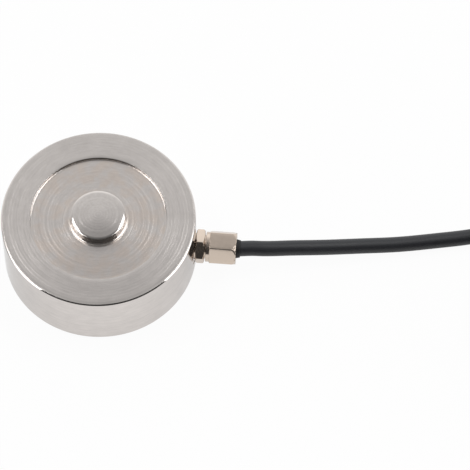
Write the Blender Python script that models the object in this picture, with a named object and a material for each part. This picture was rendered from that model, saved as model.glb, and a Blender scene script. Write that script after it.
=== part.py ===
"""Button load cell: a turned steel sensing body with its gland, cable and inner parts.

Metres, +Z up. The origin is on the axis of the body, in the plane that it stands on.
The load goes in at the button on top, and the cable leaves along +X.
"""

import math

import bmesh
import bpy
from mathutils import Vector

# Sensing body
BODY_RADIUS = 0.0250
BODY_HEIGHT = 0.0188
TOP_EDGE_BREAK = 0.0003
FOOT_EDGE_BREAK = 0.0004
RIM_WIDTH = 0.0075
RECESS_DEPTH = 0.00085
RECESS_FILLET = 0.0002
BUTTON_RADIUS = 0.0070
BUTTON_STANDOUT = 0.0015
BUTTON_CROWN = 0.0005
BUTTON_EDGE_RADIUS = 0.0002
BUTTON_ROOT_FILLET = 0.0004

# Cavity under the diaphragm, open at the underside until the cover closes it
DIAPHRAGM_THICKNESS = 0.0050
BASE_RING_WIDTH = 0.0060
COVER_LEDGE_WIDTH = 0.0018
BOARD_LEDGE_WIDTH = 0.0010
CAVITY_FILLET = 0.0010
BOSS_RADIUS = 0.0060
BOSS_EDGE_BREAK = 0.0003
OVERLOAD_GAP = 0.0005

# Base cover
COVER_THICKNESS = 0.0015
COVER_INSET = 0.0003
COVER_CLEARANCE = 0.0001
COVER_EDGE_BREAK = 0.0002

# Blind tapped holes in the base ring
MOUNT_HOLES = 4
MOUNT_HOLE_RADIUS = 0.0015
MOUNT_HOLE_DEPTH = 0.0060
MOUNT_HOLE_BREAK = 0.0002
DRILL_POINT_ANGLE = math.radians(118)

# Gland: lengths run outwards from the spot face that it seats on
SPOT_FACE_DEPTH = 0.0004
SPOT_FACE_RADIUS = 0.0048
GLAND_THREAD_RADIUS = 0.0030
GLAND_BORE_WEB = 0.0003
THREAD_CLEARANCE = 0.0001
SHANK_LENGTH = 0.0060
COLLAR_LENGTH = 0.0027
COLLAR_ACROSS_FLATS = 0.0080
COLLAR_TURN = math.radians(14)
SPIGOT_LENGTH = 0.0035
NUT_GAP = 0.0003
NUT_ACROSS_FLATS = 0.0080
NUT_TURN = math.radians(33)
NUT_SHOULDER_LENGTH = 0.0010
NUT_SHOULDER_RELIEF = 0.0001
NUT_HEX_LENGTH = 0.0069
NUT_BACK_CHAMFER = 0.0001
NUT_FRONT_CHAMFER = 0.0011
NUT_MOUTH_LENGTH = 0.0009
NUT_MOUTH_RADIUS = 0.00255
NUT_CONE_LENGTH = 0.0006
HEX_CHAMFER = 0.0004
SEAL_CLEARANCE = 0.0001
SEAL_STANDOUT = 0.0010
SEAL_LIP = 0.00015

# Bridge board and what is soldered to it
BOARD_THICKNESS = 0.0010
BOARD_CLEARANCE = 0.00075
BOARD_EDGE_CLEARANCE = 0.0002
BOARD_BORE_CLEARANCE = 0.0020
RESISTOR_LENGTH = 0.0032
RESISTOR_WIDTH = 0.0016
RESISTOR_HEIGHT = 0.0006
RESISTOR_CAP_LENGTH = 0.0005
RESISTOR_CAP_HEIGHT = 0.0001
RESISTOR_ANGLES = (80, 100, 260, 280)

# Strain gauges on the underside of the diaphragm
GAUGES = 4
GAUGE_FIRST_ANGLE = math.radians(45)
GAUGE_EDGE_CLEARANCE = 0.0004
GAUGE_WIDTH = 0.0036
GAUGE_BACKING = 0.00015
GAUGE_FOIL = 0.00006
GAUGE_LOOPS = 4
GAUGE_TAB_LENGTH = 0.0009
GAUGE_WIRE_RADIUS = 0.00015
WIRE_BOW = 0.0008
SOLDER_GAP = 0.0001

# Cable, its cores and its free end
CABLE_RADIUS = 0.0020
JACKET_REACH = 0.0012
CORE_RADIUS = 0.00045
CORE_GAP = 0.00018
CORE_SPREAD = 0.0023
CORE_PAD_INSET = 0.0020
CORE_COLOURS = {"red": 0xB32020, "black": 0x151515, "green": 0x1E7A3A, "white": 0xE4E2DC}
SLEEVE_LENGTH = 0.0120
SLEEVE_WALL = 0.0004
LEAD_LENGTH = 0.0270
LEAD_TIP_LENGTH = 0.0060
LEAD_TIP_RADIUS = 0.00030
LEAD_SPREAD = 0.0034
LEAD_CURL = 0.0070
DRAIN_RADIUS = 0.00040
DRAIN_DROP = 0.00110

# Coil of the cable that is put away, wound clockwise as seen from above
COIL_CENTRE = (0.1310, -0.0090)
COIL_MID_RADIUS = 0.0225
COIL_COLUMNS = 4
COIL_LAYERS = 4
COIL_LAYER_PITCH = 0.0035
COIL_ARRIVAL = math.radians(106)
COIL_GAP = 0.0003

# Cable ties round the coil
TIE_THICKNESS = 0.0009
TIE_WIDTH = 0.0025
TIE_CLEARANCE = 0.0003
TIE_HEAD = (0.0031, 0.0042, 0.0046)
TIE_STUB_LENGTH = 0.0014
TIE_ANGLES = (84, 215)

# Where the cable lies between the gland and the coil, and between the coil and its sleeve
CABLE_ROUTE = (
    (0.0420, 0.0006, 0.00675),
    (0.0500, 0.0018, 0.0060),
    (0.0580, 0.0032, 0.0048),
    (0.0670, 0.0049, 0.0036),
    (0.0770, 0.0066, 0.00275),
    (0.0870, 0.0087, 0.0023),
    (0.0955, 0.0106, 0.0021),
    (0.1020, 0.0123, 0.0024),
)
STRAIGHT_EXIT = 0.0030
TAIL_START = math.radians(40)
TAIL_END = math.radians(0)
TAIL_RADIUS = 0.0340

# Smoothness
BODY_SEGMENTS = 64
GLAND_SEGMENTS = 36
COIL_SEGMENTS = 40
HOLE_SEGMENTS = 12
ARC_STEPS = 2
DOME_STEPS = 4
TAIL_STEPS = 6
WELD = 1e-6
CUT_MARGIN = 0.0010
SMOOTH_ANGLE = math.radians(30)

# Levels and places that follow from the sizes above
RECESS_RADIUS = BODY_RADIUS - RIM_WIDTH
DIAPHRAGM_TOP = BODY_HEIGHT - RECESS_DEPTH
CEILING = DIAPHRAGM_TOP - DIAPHRAGM_THICKNESS
BUTTON_EDGE_HEIGHT = BODY_HEIGHT + BUTTON_STANDOUT
COVER_SEAT_RADIUS = BODY_RADIUS - BASE_RING_WIDTH
COVER_TOP = COVER_INSET + COVER_THICKNESS
BOARD_SEAT_RADIUS = COVER_SEAT_RADIUS - COVER_LEDGE_WIDTH
CAVITY_RADIUS = BOARD_SEAT_RADIUS - BOARD_LEDGE_WIDTH
BOARD_UNDERSIDE = COVER_TOP + BOARD_CLEARANCE
BOARD_TOP = BOARD_UNDERSIDE + BOARD_THICKNESS
BOARD_BORE_RADIUS = BOSS_RADIUS + BOARD_BORE_CLEARANCE
BOARD_MID_RADIUS = (BOARD_BORE_RADIUS + BOARD_SEAT_RADIUS) / 2
GAUGE_MID_RADIUS = (BOSS_RADIUS + CAVITY_RADIUS) / 2
GAUGE_LENGTH = CAVITY_RADIUS - BOSS_RADIUS - 2 * (CAVITY_FILLET + GAUGE_EDGE_CLEARANCE)
GLAND_HEIGHT = BOARD_TOP + GLAND_BORE_WEB + GLAND_THREAD_RADIUS
MOUNT_CIRCLE_RADIUS = BODY_RADIUS - BASE_RING_WIDTH / 2
SPOT_FACE_X = BODY_RADIUS - SPOT_FACE_DEPTH
CABLE_BORE_RADIUS = CABLE_RADIUS + SEAL_CLEARANCE
NUT_START = COLLAR_LENGTH + NUT_GAP
NUT_END = NUT_START + NUT_SHOULDER_LENGTH + NUT_HEX_LENGTH
NUT_BORE_RADIUS = GLAND_THREAD_RADIUS + THREAD_CLEARANCE
SEAL_END = NUT_END + SEAL_STANDOUT
JACKET_START_X = CAVITY_RADIUS - JACKET_REACH
COIL_LIFT = TIE_THICKNESS + TIE_CLEARANCE
COIL_PITCH = 2 * CABLE_RADIUS
COIL_HALF_WIDTH = COIL_PITCH * (COIL_COLUMNS - 1) / 2
COIL_OUTER_TURN = COIL_MID_RADIUS + COIL_HALF_WIDTH
COIL_FLOOR_TURN = COIL_LIFT + CABLE_RADIUS
SLEEVE_RADIUS = CABLE_RADIUS + SEAL_CLEARANCE + SLEEVE_WALL


def clear_scene():
    for obj in list(bpy.data.objects):
        bpy.data.objects.remove(obj, do_unlink=True)


def finish_material(name, colour, roughness, metallic=0.0):
    """A Principled material of one colour, given as sRGB in the form 0xRRGGBB."""
    material = bpy.data.materials.new(name)
    material.use_nodes = True
    shader = material.node_tree.nodes["Principled BSDF"]
    channels = [((colour >> shift) & 255) / 255 for shift in (16, 8, 0)]
    linear = [c / 12.92 if c <= 0.04045 else ((c + 0.055) / 1.055) ** 2.4 for c in channels]
    shader.inputs["Base Color"].default_value = (*linear, 1)
    shader.inputs["Roughness"].default_value = roughness
    shader.inputs["Metallic"].default_value = metallic
    return material


def add_object(name, bm, material):
    """Turn a bmesh into a smooth-shaded object and link it."""
    bmesh.ops.recalc_face_normals(bm, faces=bm.faces)
    mesh = bpy.data.meshes.new(name)
    bm.to_mesh(mesh)
    bm.free()
    mesh.shade_smooth()
    mesh.set_sharp_from_angle(angle=SMOOTH_ANGLE)
    if material:
        mesh.materials.append(material)
    obj = bpy.data.objects.new(name, mesh)
    bpy.context.scene.collection.objects.link(obj)
    return obj


def hide_helper(obj):
    obj.hide_render = True
    obj.display_type = "WIRE"


def arc(centre, radius, start, end, steps=ARC_STEPS):
    """Points from one angle to another, in degrees, both ends included."""
    angles = [math.radians(start + (end - start) * i / steps) for i in range(steps + 1)]
    return [(centre[0] + radius * math.cos(a), centre[1] + radius * math.sin(a)) for a in angles]


def turned(name, profile, material, segments, ring=True, first_angle=0.0):
    """Spin a profile of (radius, height) points round the local Z axis.

    A ring's profile is a closed loop. Any other starts and ends on the axis.
    """
    bm = bmesh.new()
    cos, sin = math.cos(first_angle), math.sin(first_angle)
    verts = [bm.verts.new((radius * cos, radius * sin, height)) for radius, height in profile]
    ends = verts[1:] + verts[:1] if ring else verts[1:]
    edges = [bm.edges.new(pair) for pair in zip(verts, ends)]
    bmesh.ops.spin(
        bm, geom=verts + edges, cent=(0, 0, 0), axis=(0, 0, 1), angle=math.tau,
        steps=segments, use_merge=True,
    )
    bmesh.ops.remove_doubles(bm, verts=bm.verts, dist=WELD)
    return add_object(name, bm, material)


def cut(obj, cutter):
    """Remove the cutter's shape with a live Boolean, which keeps the EXACT solver."""
    modifier = obj.modifiers.new("cut_" + cutter.name, "BOOLEAN")
    modifier.operation = "DIFFERENCE"
    modifier.object = cutter
    hide_helper(cutter)


def join(obj, piece):
    """Unite a piece with the object through a live Boolean."""
    modifier = obj.modifiers.new("join_" + piece.name, "BOOLEAN")
    modifier.operation = "UNION"
    modifier.object = piece
    hide_helper(piece)


def place_on_gland_axis(obj):
    """Lay a piece made along local Z onto the gland's axis, seated on the spot face."""
    obj.rotation_euler = (0, math.pi / 2, 0)
    obj.location = (SPOT_FACE_X, 0, GLAND_HEIGHT)


def body_profile():
    """Half section of the sensing body, from the crown of the button to the boss."""
    dome_rise = BUTTON_CROWN - BUTTON_EDGE_RADIUS
    dome_radius = (BUTTON_RADIUS**2 + dome_rise**2) / (2 * dome_rise)
    crown = BUTTON_EDGE_HEIGHT + BUTTON_CROWN
    flat = BUTTON_RADIUS - BUTTON_EDGE_RADIUS
    dome = []
    for step in range(DOME_STEPS + 1):
        radius = flat * step / DOME_STEPS
        dome.append((radius, crown - dome_radius + math.sqrt(dome_radius**2 - radius**2)))
    root = (BUTTON_RADIUS + BUTTON_ROOT_FILLET, DIAPHRAGM_TOP + BUTTON_ROOT_FILLET)
    recess = (RECESS_RADIUS - RECESS_FILLET, DIAPHRAGM_TOP + RECESS_FILLET)
    cavity = (CAVITY_RADIUS - CAVITY_FILLET, CEILING - CAVITY_FILLET)
    boss = (BOSS_RADIUS + CAVITY_FILLET, CEILING - CAVITY_FILLET)
    boss_end = COVER_TOP + OVERLOAD_GAP
    return (
        dome
        + [(BUTTON_RADIUS, BUTTON_EDGE_HEIGHT)]
        + arc(root, BUTTON_ROOT_FILLET, 180, 270)
        + arc(recess, RECESS_FILLET, -90, 0)
        + [
            (RECESS_RADIUS, BODY_HEIGHT - TOP_EDGE_BREAK / 2),
            (RECESS_RADIUS + TOP_EDGE_BREAK / 2, BODY_HEIGHT),
            (BODY_RADIUS - TOP_EDGE_BREAK, BODY_HEIGHT),
            (BODY_RADIUS, BODY_HEIGHT - TOP_EDGE_BREAK),
            (BODY_RADIUS, FOOT_EDGE_BREAK),
            (BODY_RADIUS - FOOT_EDGE_BREAK, 0),
            (COVER_SEAT_RADIUS + COVER_EDGE_BREAK, 0),
            (COVER_SEAT_RADIUS, COVER_EDGE_BREAK),
            (COVER_SEAT_RADIUS, COVER_TOP),
            (BOARD_SEAT_RADIUS, COVER_TOP),
            (BOARD_SEAT_RADIUS, BOARD_TOP),
            (CAVITY_RADIUS, BOARD_TOP),
        ]
        + arc(cavity, CAVITY_FILLET, 0, 90)
        + arc(boss, CAVITY_FILLET, 90, 180)
        + [
            (BOSS_RADIUS, boss_end + BOSS_EDGE_BREAK),
            (BOSS_RADIUS - BOSS_EDGE_BREAK, boss_end),
            (0, boss_end),
        ]
    )


def make_body(steel):
    body = turned(
        "sensor_body", body_profile(), steel, BODY_SEGMENTS, ring=False,
        first_angle=math.pi / BODY_SEGMENTS,
    )
    spot_depth = SPOT_FACE_DEPTH + CUT_MARGIN
    bore_depth = SPOT_FACE_X - CAVITY_RADIUS + CUT_MARGIN
    gland_seat = turned(
        "gland_seat_cutter",
        [
            (0, spot_depth),
            (SPOT_FACE_RADIUS, spot_depth),
            (SPOT_FACE_RADIUS, 0),
            (GLAND_THREAD_RADIUS, 0),
            (GLAND_THREAD_RADIUS, -bore_depth),
            (0, -bore_depth),
        ],
        None, GLAND_SEGMENTS, ring=False,
    )
    place_on_gland_axis(gland_seat)
    cut(body, gland_seat)
    for index in range(MOUNT_HOLES):
        cut(body, mount_hole_cutter(index))
    return body


def mount_hole_cutter(index):
    """A drilled hole with its cone-shaped end and a broken edge at the mouth."""
    tip = MOUNT_HOLE_RADIUS / math.tan(DRILL_POINT_ANGLE / 2)
    wide = MOUNT_HOLE_RADIUS + MOUNT_HOLE_BREAK + CUT_MARGIN
    profile = [
        (0, MOUNT_HOLE_DEPTH + tip),
        (MOUNT_HOLE_RADIUS, MOUNT_HOLE_DEPTH),
        (MOUNT_HOLE_RADIUS, MOUNT_HOLE_BREAK),
        (wide, -CUT_MARGIN),
        (0, -CUT_MARGIN),
    ]
    cutter = turned(f"mount_hole_cutter_{index + 1}", profile, None, HOLE_SEGMENTS, ring=False)
    angle = math.tau * (index + 0.5) / MOUNT_HOLES
    cutter.location = (
        MOUNT_CIRCLE_RADIUS * math.cos(angle), MOUNT_CIRCLE_RADIUS * math.sin(angle), 0,
    )
    return cutter


def make_cover(steel):
    radius = COVER_SEAT_RADIUS - COVER_CLEARANCE
    profile = [
        (0, COVER_TOP),
        (radius, COVER_TOP),
        (radius, COVER_INSET + COVER_EDGE_BREAK),
        (radius - COVER_EDGE_BREAK, COVER_INSET),
        (0, COVER_INSET),
    ]
    return turned("base_cover", profile, steel, BODY_SEGMENTS, ring=False)


def hexagon_cutter(name, across_flats, start, end, turn):
    """What lies round a hexagonal prism: cutting it away leaves six flats."""
    bm = bmesh.new()
    inner = across_flats / 2 / math.cos(math.pi / 6)
    loops = []
    for radius, height in ((inner, start), (2 * inner, start), (2 * inner, end), (inner, end)):
        corners = [turn + math.tau * i / 6 for i in range(6)]
        loops.append(
            [bm.verts.new((radius * math.cos(a), radius * math.sin(a), height)) for a in corners]
        )
    for near, far in zip(loops, loops[1:] + loops[:1]):
        for i in range(6):
            bm.faces.new((near[i], near[i - 1], far[i - 1], far[i]))
    cutter = add_object(name, bm, None)
    place_on_gland_axis(cutter)
    return cutter


def chamfered_hexagon(across_flats, start, end, back_chamfer, front_chamfer):
    """Outer outline of a hexagon's corners between two ends, with both ends chamfered."""
    corner = across_flats / 2 / math.cos(math.pi / 6)
    flat = across_flats / 2
    return [
        (flat, start), (corner, start + back_chamfer), (corner, end - front_chamfer), (flat, end),
    ]


def make_gland_body(nickel):
    """Threaded shank, hexagon collar and the spigot that the nut screws onto."""
    shank = GLAND_THREAD_RADIUS - THREAD_CLEARANCE
    spigot_end = COLLAR_LENGTH + SPIGOT_LENGTH
    profile = (
        [
            (CABLE_BORE_RADIUS, -SHANK_LENGTH),
            (shank - HEX_CHAMFER, -SHANK_LENGTH),
            (shank, HEX_CHAMFER - SHANK_LENGTH),
            (shank, 0),
        ]
        + chamfered_hexagon(COLLAR_ACROSS_FLATS, 0, COLLAR_LENGTH, HEX_CHAMFER, HEX_CHAMFER)
        + [
            (GLAND_THREAD_RADIUS, COLLAR_LENGTH),
            (GLAND_THREAD_RADIUS, spigot_end - HEX_CHAMFER),
            (GLAND_THREAD_RADIUS - HEX_CHAMFER, spigot_end),
            (CABLE_BORE_RADIUS, spigot_end),
        ]
    )
    gland = turned("gland_body", profile, nickel, GLAND_SEGMENTS)
    place_on_gland_axis(gland)
    flats = hexagon_cutter(
        "collar_flats_cutter", COLLAR_ACROSS_FLATS, -CUT_MARGIN, COLLAR_LENGTH + CUT_MARGIN,
        COLLAR_TURN,
    )
    cut(gland, flats)
    return gland


def make_gland_nut(nickel):
    """Nut with a turned shoulder, a threaded bore and a mouth that closes on the seal."""
    shoulder = NUT_ACROSS_FLATS / 2 - NUT_SHOULDER_RELIEF
    hex_start = NUT_START + NUT_SHOULDER_LENGTH
    cone_end = NUT_END - NUT_MOUTH_LENGTH
    profile = (
        [(NUT_BORE_RADIUS, NUT_START), (shoulder, NUT_START), (shoulder, hex_start)]
        + chamfered_hexagon(
            NUT_ACROSS_FLATS, hex_start, NUT_END, NUT_BACK_CHAMFER, NUT_FRONT_CHAMFER,
        )
        + [
            (NUT_MOUTH_RADIUS, NUT_END),
            (NUT_MOUTH_RADIUS, cone_end),
            (NUT_BORE_RADIUS, cone_end - NUT_CONE_LENGTH),
        ]
    )
    nut = turned("gland_nut", profile, nickel, GLAND_SEGMENTS)
    place_on_gland_axis(nut)
    flats = hexagon_cutter(
        "nut_flats_cutter", NUT_ACROSS_FLATS, NUT_START - CUT_MARGIN, NUT_END + CUT_MARGIN,
        NUT_TURN,
    )
    cut(nut, flats)
    return nut


def make_gland_seal(rubber):
    """Rubber insert squeezed between the spigot and the nut's cone, with a lip outside."""
    back = COLLAR_LENGTH + SPIGOT_LENGTH + SEAL_CLEARANCE
    cone_end = NUT_END - NUT_MOUTH_LENGTH
    wide = NUT_BORE_RADIUS - SEAL_CLEARANCE
    neck = NUT_MOUTH_RADIUS - SEAL_CLEARANCE
    profile = [
        (CABLE_BORE_RADIUS, back),
        (wide, back),
        (wide, cone_end - NUT_CONE_LENGTH - SEAL_CLEARANCE),
        (neck, cone_end - SEAL_CLEARANCE),
        (neck, NUT_END),
        (CABLE_BORE_RADIUS + SEAL_LIP, SEAL_END),
        (CABLE_BORE_RADIUS, SEAL_END),
    ]
    seal = turned("gland_seal", profile, rubber, GLAND_SEGMENTS)
    place_on_gland_axis(seal)
    return seal


def make_board(laminate):
    outer = BOARD_SEAT_RADIUS - BOARD_EDGE_CLEARANCE
    profile = [
        (BOARD_BORE_RADIUS, BOARD_UNDERSIDE),
        (outer, BOARD_UNDERSIDE),
        (outer, BOARD_TOP),
        (BOARD_BORE_RADIUS, BOARD_TOP),
    ]
    return turned("bridge_board", profile, laminate, GLAND_SEGMENTS)


def stepped_plate(name, xs, ys, thickness, raised, step, material):
    """A plate on a grid of lines, with some cells of its top standing up by a step.

    raised(i, j) says whether the cell between the lines i, i + 1 and j, j + 1 stands up.
    """
    bm = bmesh.new()
    grid = [[bm.verts.new((x, y, 0)) for y in ys] for x in xs]
    cells = {}
    for i in range(len(xs) - 1):
        for j in range(len(ys) - 1):
            corners = (grid[i][j], grid[i + 1][j], grid[i + 1][j + 1], grid[i][j + 1])
            cells[i, j] = bm.faces.new(corners)
    low = bmesh.ops.extrude_face_region(bm, geom=list(cells.values()))
    below = [item for item in low["geom"] if isinstance(item, bmesh.types.BMVert)]
    bmesh.ops.translate(bm, verts=below, vec=(0, 0, -thickness))
    lands = [face for key, face in cells.items() if raised(*key)]
    high = bmesh.ops.extrude_face_region(bm, geom=lands)
    above = [item for item in high["geom"] if isinstance(item, bmesh.types.BMVert)]
    bmesh.ops.translate(bm, verts=above, vec=(0, 0, step))
    bmesh.ops.delete(bm, geom=lands, context="FACES")
    obj = add_object(name, bm, material)
    obj.data.shade_flat()
    return obj


def make_resistor(index, degrees, ceramic):
    """Chip with a raised metal cap at each end, flat on the board."""
    half = RESISTOR_LENGTH / 2
    xs = (-half, RESISTOR_CAP_LENGTH - half, half - RESISTOR_CAP_LENGTH, half)
    ys = (-RESISTOR_WIDTH / 2, RESISTOR_WIDTH / 2)
    chip = stepped_plate(
        f"bridge_resistor_{index}", xs, ys, RESISTOR_HEIGHT, lambda i, j: i != 1,
        RESISTOR_CAP_HEIGHT, ceramic,
    )
    angle = math.radians(degrees)
    chip.rotation_euler = (0, 0, angle + math.pi / 2)
    chip.location = (
        BOARD_MID_RADIUS * math.cos(angle),
        BOARD_MID_RADIUS * math.sin(angle),
        BOARD_TOP + RESISTOR_HEIGHT,
    )
    return chip


def gauge_angle(index):
    return GAUGE_FIRST_ANGLE + math.tau * index / GAUGES


def gauge_tab_offset():
    """Distance of each solder tab's middle from the gauge's centre line."""
    return GAUGE_WIDTH / 2 * (2 * GAUGE_LOOPS - 1) / (2 * GAUGE_LOOPS + 1)


def make_gauge(index, foil):
    """Backing film with a grid of foil strips and two solder tabs, facing down."""
    cell = GAUGE_WIDTH / (2 * GAUGE_LOOPS + 1)
    ys = [-GAUGE_WIDTH / 2 + cell * i for i in range(2 * GAUGE_LOOPS + 2)]
    half = GAUGE_LENGTH / 2
    xs = (-half, -half + cell, -half + cell + GAUGE_TAB_LENGTH, half - cell, half)
    last = 2 * GAUGE_LOOPS - 1

    def raised(i, j):
        strip = i == 2 and j % 2 == 1
        tab = i == 1 and j in (1, last)
        return strip or tab

    gauge = stepped_plate(
        f"strain_gauge_{index + 1}", xs, ys, GAUGE_BACKING, raised, GAUGE_FOIL, foil,
    )
    angle = gauge_angle(index)
    gauge.rotation_euler = (math.pi, 0, angle)
    gauge.location = (
        GAUGE_MID_RADIUS * math.cos(angle),
        GAUGE_MID_RADIUS * math.sin(angle),
        CEILING - GAUGE_BACKING,
    )
    return gauge


def smooth_route(points, spacing):
    """Points about one spacing apart on a smooth curve through the given points.

    Each stretch is a cubic whose end slopes follow the chords to the neighbouring points.
    """
    spots = [Vector(point) for point in points]
    lengths = [(b - a).length for a, b in zip(spots, spots[1:])]
    slopes = []
    for i, spot in enumerate(spots):
        before = (spot - spots[i - 1]) / lengths[i - 1] if i else None
        after = (spots[i + 1] - spot) / lengths[i] if i < len(lengths) else None
        if before and after:
            share = lengths[i - 1] / (lengths[i - 1] + lengths[i])
            slopes.append(before * (1 - share) + after * share)
        else:
            slopes.append(before or after)
    route = [spots[0]]
    for i, length in enumerate(lengths):
        pieces = max(1, round(length / spacing))
        for step in range(1, pieces + 1):
            t = step / pieces
            route.append(
                spots[i] * (2 * t**3 - 3 * t**2 + 1)
                + slopes[i] * length * (t**3 - 2 * t**2 + t)
                + spots[i + 1] * (3 * t**2 - 2 * t**3)
                + slopes[i + 1] * length * (t**3 - t**2)
            )
    return route


def make_tube(name, route, radius, material, resolution=2):
    """A round cord along a route: a POLY curve with a bevel and filled caps."""
    curve = bpy.data.curves.new(name, "CURVE")
    curve.dimensions = "3D"
    curve.bevel_depth = radius
    curve.bevel_resolution = resolution
    curve.use_fill_caps = True
    spline = curve.splines.new("POLY")
    spline.points.add(len(route) - 1)
    for point, spot in zip(spline.points, route):
        point.co = (*spot, 1)
    curve.materials.append(material)
    tube = bpy.data.objects.new(name, curve)
    bpy.context.scene.collection.objects.link(tube)
    return tube


def make_gauge_wires(index, enamel):
    """Two fine wires from a gauge's tabs down to the board."""
    angle = gauge_angle(index)
    outward = Vector((math.cos(angle), math.sin(angle), 0))
    across = Vector((-math.sin(angle), math.cos(angle), 0))
    cell = GAUGE_WIDTH / (2 * GAUGE_LOOPS + 1)
    tab = GAUGE_MID_RADIUS - GAUGE_LENGTH / 2 + cell + GAUGE_TAB_LENGTH / 2
    top = CEILING - GAUGE_BACKING - GAUGE_FOIL - SOLDER_GAP
    foot = BOARD_TOP + SOLDER_GAP
    for side, letter in ((-1, "a"), (1, "b")):
        start = outward * tab + across * (side * gauge_tab_offset())
        bow = outward * WIRE_BOW
        levels = (top, top - WIRE_BOW, (top + foot) / 2, foot + WIRE_BOW, foot)
        route = [start + Vector((0, 0, level)) for level in levels]
        route[2] = route[2] + bow
        make_tube(
            f"gauge_wire_{index + 1}{letter}", smooth_route(route, 4 * WIRE_BOW),
            GAUGE_WIRE_RADIUS, enamel, 1,
        )


def make_inner_cores(materials):
    """Insulated cores from the jacket's inner end down to their pads on the board.

    The upper pair goes outside the lower pair, so that no core passes through another.
    """
    start_x = JACKET_START_X - SOLDER_GAP
    pad_x = BOARD_BORE_RADIUS + CORE_PAD_INSET
    half_pitch = CORE_RADIUS + CORE_GAP / 2
    foot = BOARD_TOP + SOLDER_GAP
    for index, colour in enumerate(CORE_COLOURS):
        side = 1 if index in (1, 2) else -1
        upper = index in (0, 1)
        height = GLAND_HEIGHT + (half_pitch if upper else -half_pitch)
        start = Vector((start_x, side * half_pitch, height))
        spread = 3 * CORE_SPREAD / 2 if upper else CORE_SPREAD / 2
        pad = Vector((pad_x, side * spread, foot))
        route = [
            start,
            start + Vector((-2 * CORE_RADIUS, 0, 0)),
            start.lerp(pad, 0.5) + Vector((-CORE_RADIUS, 0, 2 * CORE_RADIUS * upper)),
            pad + Vector((0, 0, 3 * CORE_RADIUS)),
            pad,
        ]
        make_tube(
            f"cable_core_{colour}", smooth_route(route, 4 * CORE_RADIUS), CORE_RADIUS,
            materials[colour],
        )


def on_coil(angle, radius, height):
    """A point at an angle and a radius round the coil's axis."""
    return Vector(
        (
            COIL_CENTRE[0] + radius * math.cos(angle),
            COIL_CENTRE[1] + radius * math.sin(angle),
            height,
        )
    )


def coil_corner_turns():
    """(radius, height) of the turns at the corners of the coil's section, outer side first."""
    top = COIL_FLOOR_TURN + COIL_LAYER_PITCH * (COIL_LAYERS - 1)
    below_top = top - COIL_LAYER_PITCH
    narrow = COIL_HALF_WIDTH - COIL_PITCH / 2
    right = [
        (COIL_HALF_WIDTH, COIL_FLOOR_TURN), (COIL_HALF_WIDTH, below_top), (narrow, top),
    ]
    left = [(-offset, height) for offset, height in reversed(right)]
    return [(COIL_MID_RADIUS + offset, height) for offset, height in right + left]


def rounded_outline(corners, radius):
    """Outline at a distance round a convex loop of corners, which runs anticlockwise."""
    count = len(corners)
    outline = []
    for i, corner in enumerate(corners):
        before, after = corners[i - 1], corners[(i + 1) % count]
        start = math.atan2(corner[1] - before[1], corner[0] - before[0]) - math.pi / 2
        end = math.atan2(after[1] - corner[1], after[0] - corner[0]) - math.pi / 2
        end += math.tau * (end < start)
        outline += arc(corner, radius, math.degrees(start), math.degrees(end))
    return outline


def make_coil(jacket):
    """The outer shape of the wound cable, as one turned ring."""
    profile = rounded_outline(coil_corner_turns(), CABLE_RADIUS)
    coil = turned("cable_coil", profile, jacket, COIL_SEGMENTS)
    coil.location = (*COIL_CENTRE, 0)
    return coil


def make_tie(index, degrees, nylon):
    """Cable tie: a band that hugs the coil's section, with its head on the outer side."""
    hug = CABLE_RADIUS + TIE_CLEARANCE
    inner = rounded_outline(coil_corner_turns(), hug)
    outer = rounded_outline(coil_corner_turns(), hug + TIE_THICKNESS)
    bm = bmesh.new()
    loops = []
    for outline, side in ((inner, -1), (outer, -1), (outer, 1), (inner, 1)):
        half = side * TIE_WIDTH / 2
        loops.append([bm.verts.new((radius, half, height)) for radius, height in outline])
    for near, far in zip(loops, loops[1:] + loops[:1]):
        for i in range(len(near)):
            bm.faces.new((near[i], near[i - 1], far[i - 1], far[i]))
    tie = add_object(f"cable_tie_{index}", bm, nylon)

    band_outside = COIL_OUTER_TURN + hug + TIE_THICKNESS
    middle = COIL_FLOOR_TURN + COIL_LAYER_PITCH
    head_radius = band_outside - TIE_THICKNESS / 2 + TIE_HEAD[0] / 2
    head = block(f"tie_head_{index}", TIE_HEAD, (head_radius, 0, middle))
    stub_size = (TIE_THICKNESS, TIE_WIDTH, TIE_HEAD[2] + 2 * TIE_STUB_LENGTH)
    stub = block(f"tie_stub_{index}", stub_size, (head_radius + TIE_THICKNESS, 0, middle))
    for piece in (tie, head, stub):
        piece.rotation_euler = (0, 0, math.radians(degrees))
        piece.location = piece.location + Vector((*COIL_CENTRE, 0))
    join(tie, head)
    join(tie, stub)
    return tie


def block(name, size, centre):
    """A box whose vertices already hold its place."""
    bm = bmesh.new()
    bmesh.ops.create_cube(bm, size=1)
    for vert in bm.verts:
        vert.co = Vector(centre) + Vector(a * b for a, b in zip(vert.co, size))
    return add_object(name, bm, None)


def make_cable(jacket):
    """The stretch of cable between the inner end of its jacket and the coil."""
    exit_x = SPOT_FACE_X + SEAL_END
    heading = Vector((math.sin(COIL_ARRIVAL), -math.cos(COIL_ARRIVAL), 0))
    clear = COIL_OUTER_TURN + 2 * CABLE_RADIUS + COIL_GAP
    before = math.sqrt(clear**2 - COIL_OUTER_TURN**2)
    arrival = on_coil(COIL_ARRIVAL, COIL_OUTER_TURN, COIL_FLOOR_TURN) - heading * before
    route = [
        (JACKET_START_X, 0, GLAND_HEIGHT),
        (exit_x, 0, GLAND_HEIGHT),
        (exit_x + STRAIGHT_EXIT, 0, GLAND_HEIGHT),
        *CABLE_ROUTE,
        arrival,
    ]
    return make_tube("cable", smooth_route(route, 4 * CABLE_RADIUS), CABLE_RADIUS, jacket, 3)


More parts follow.
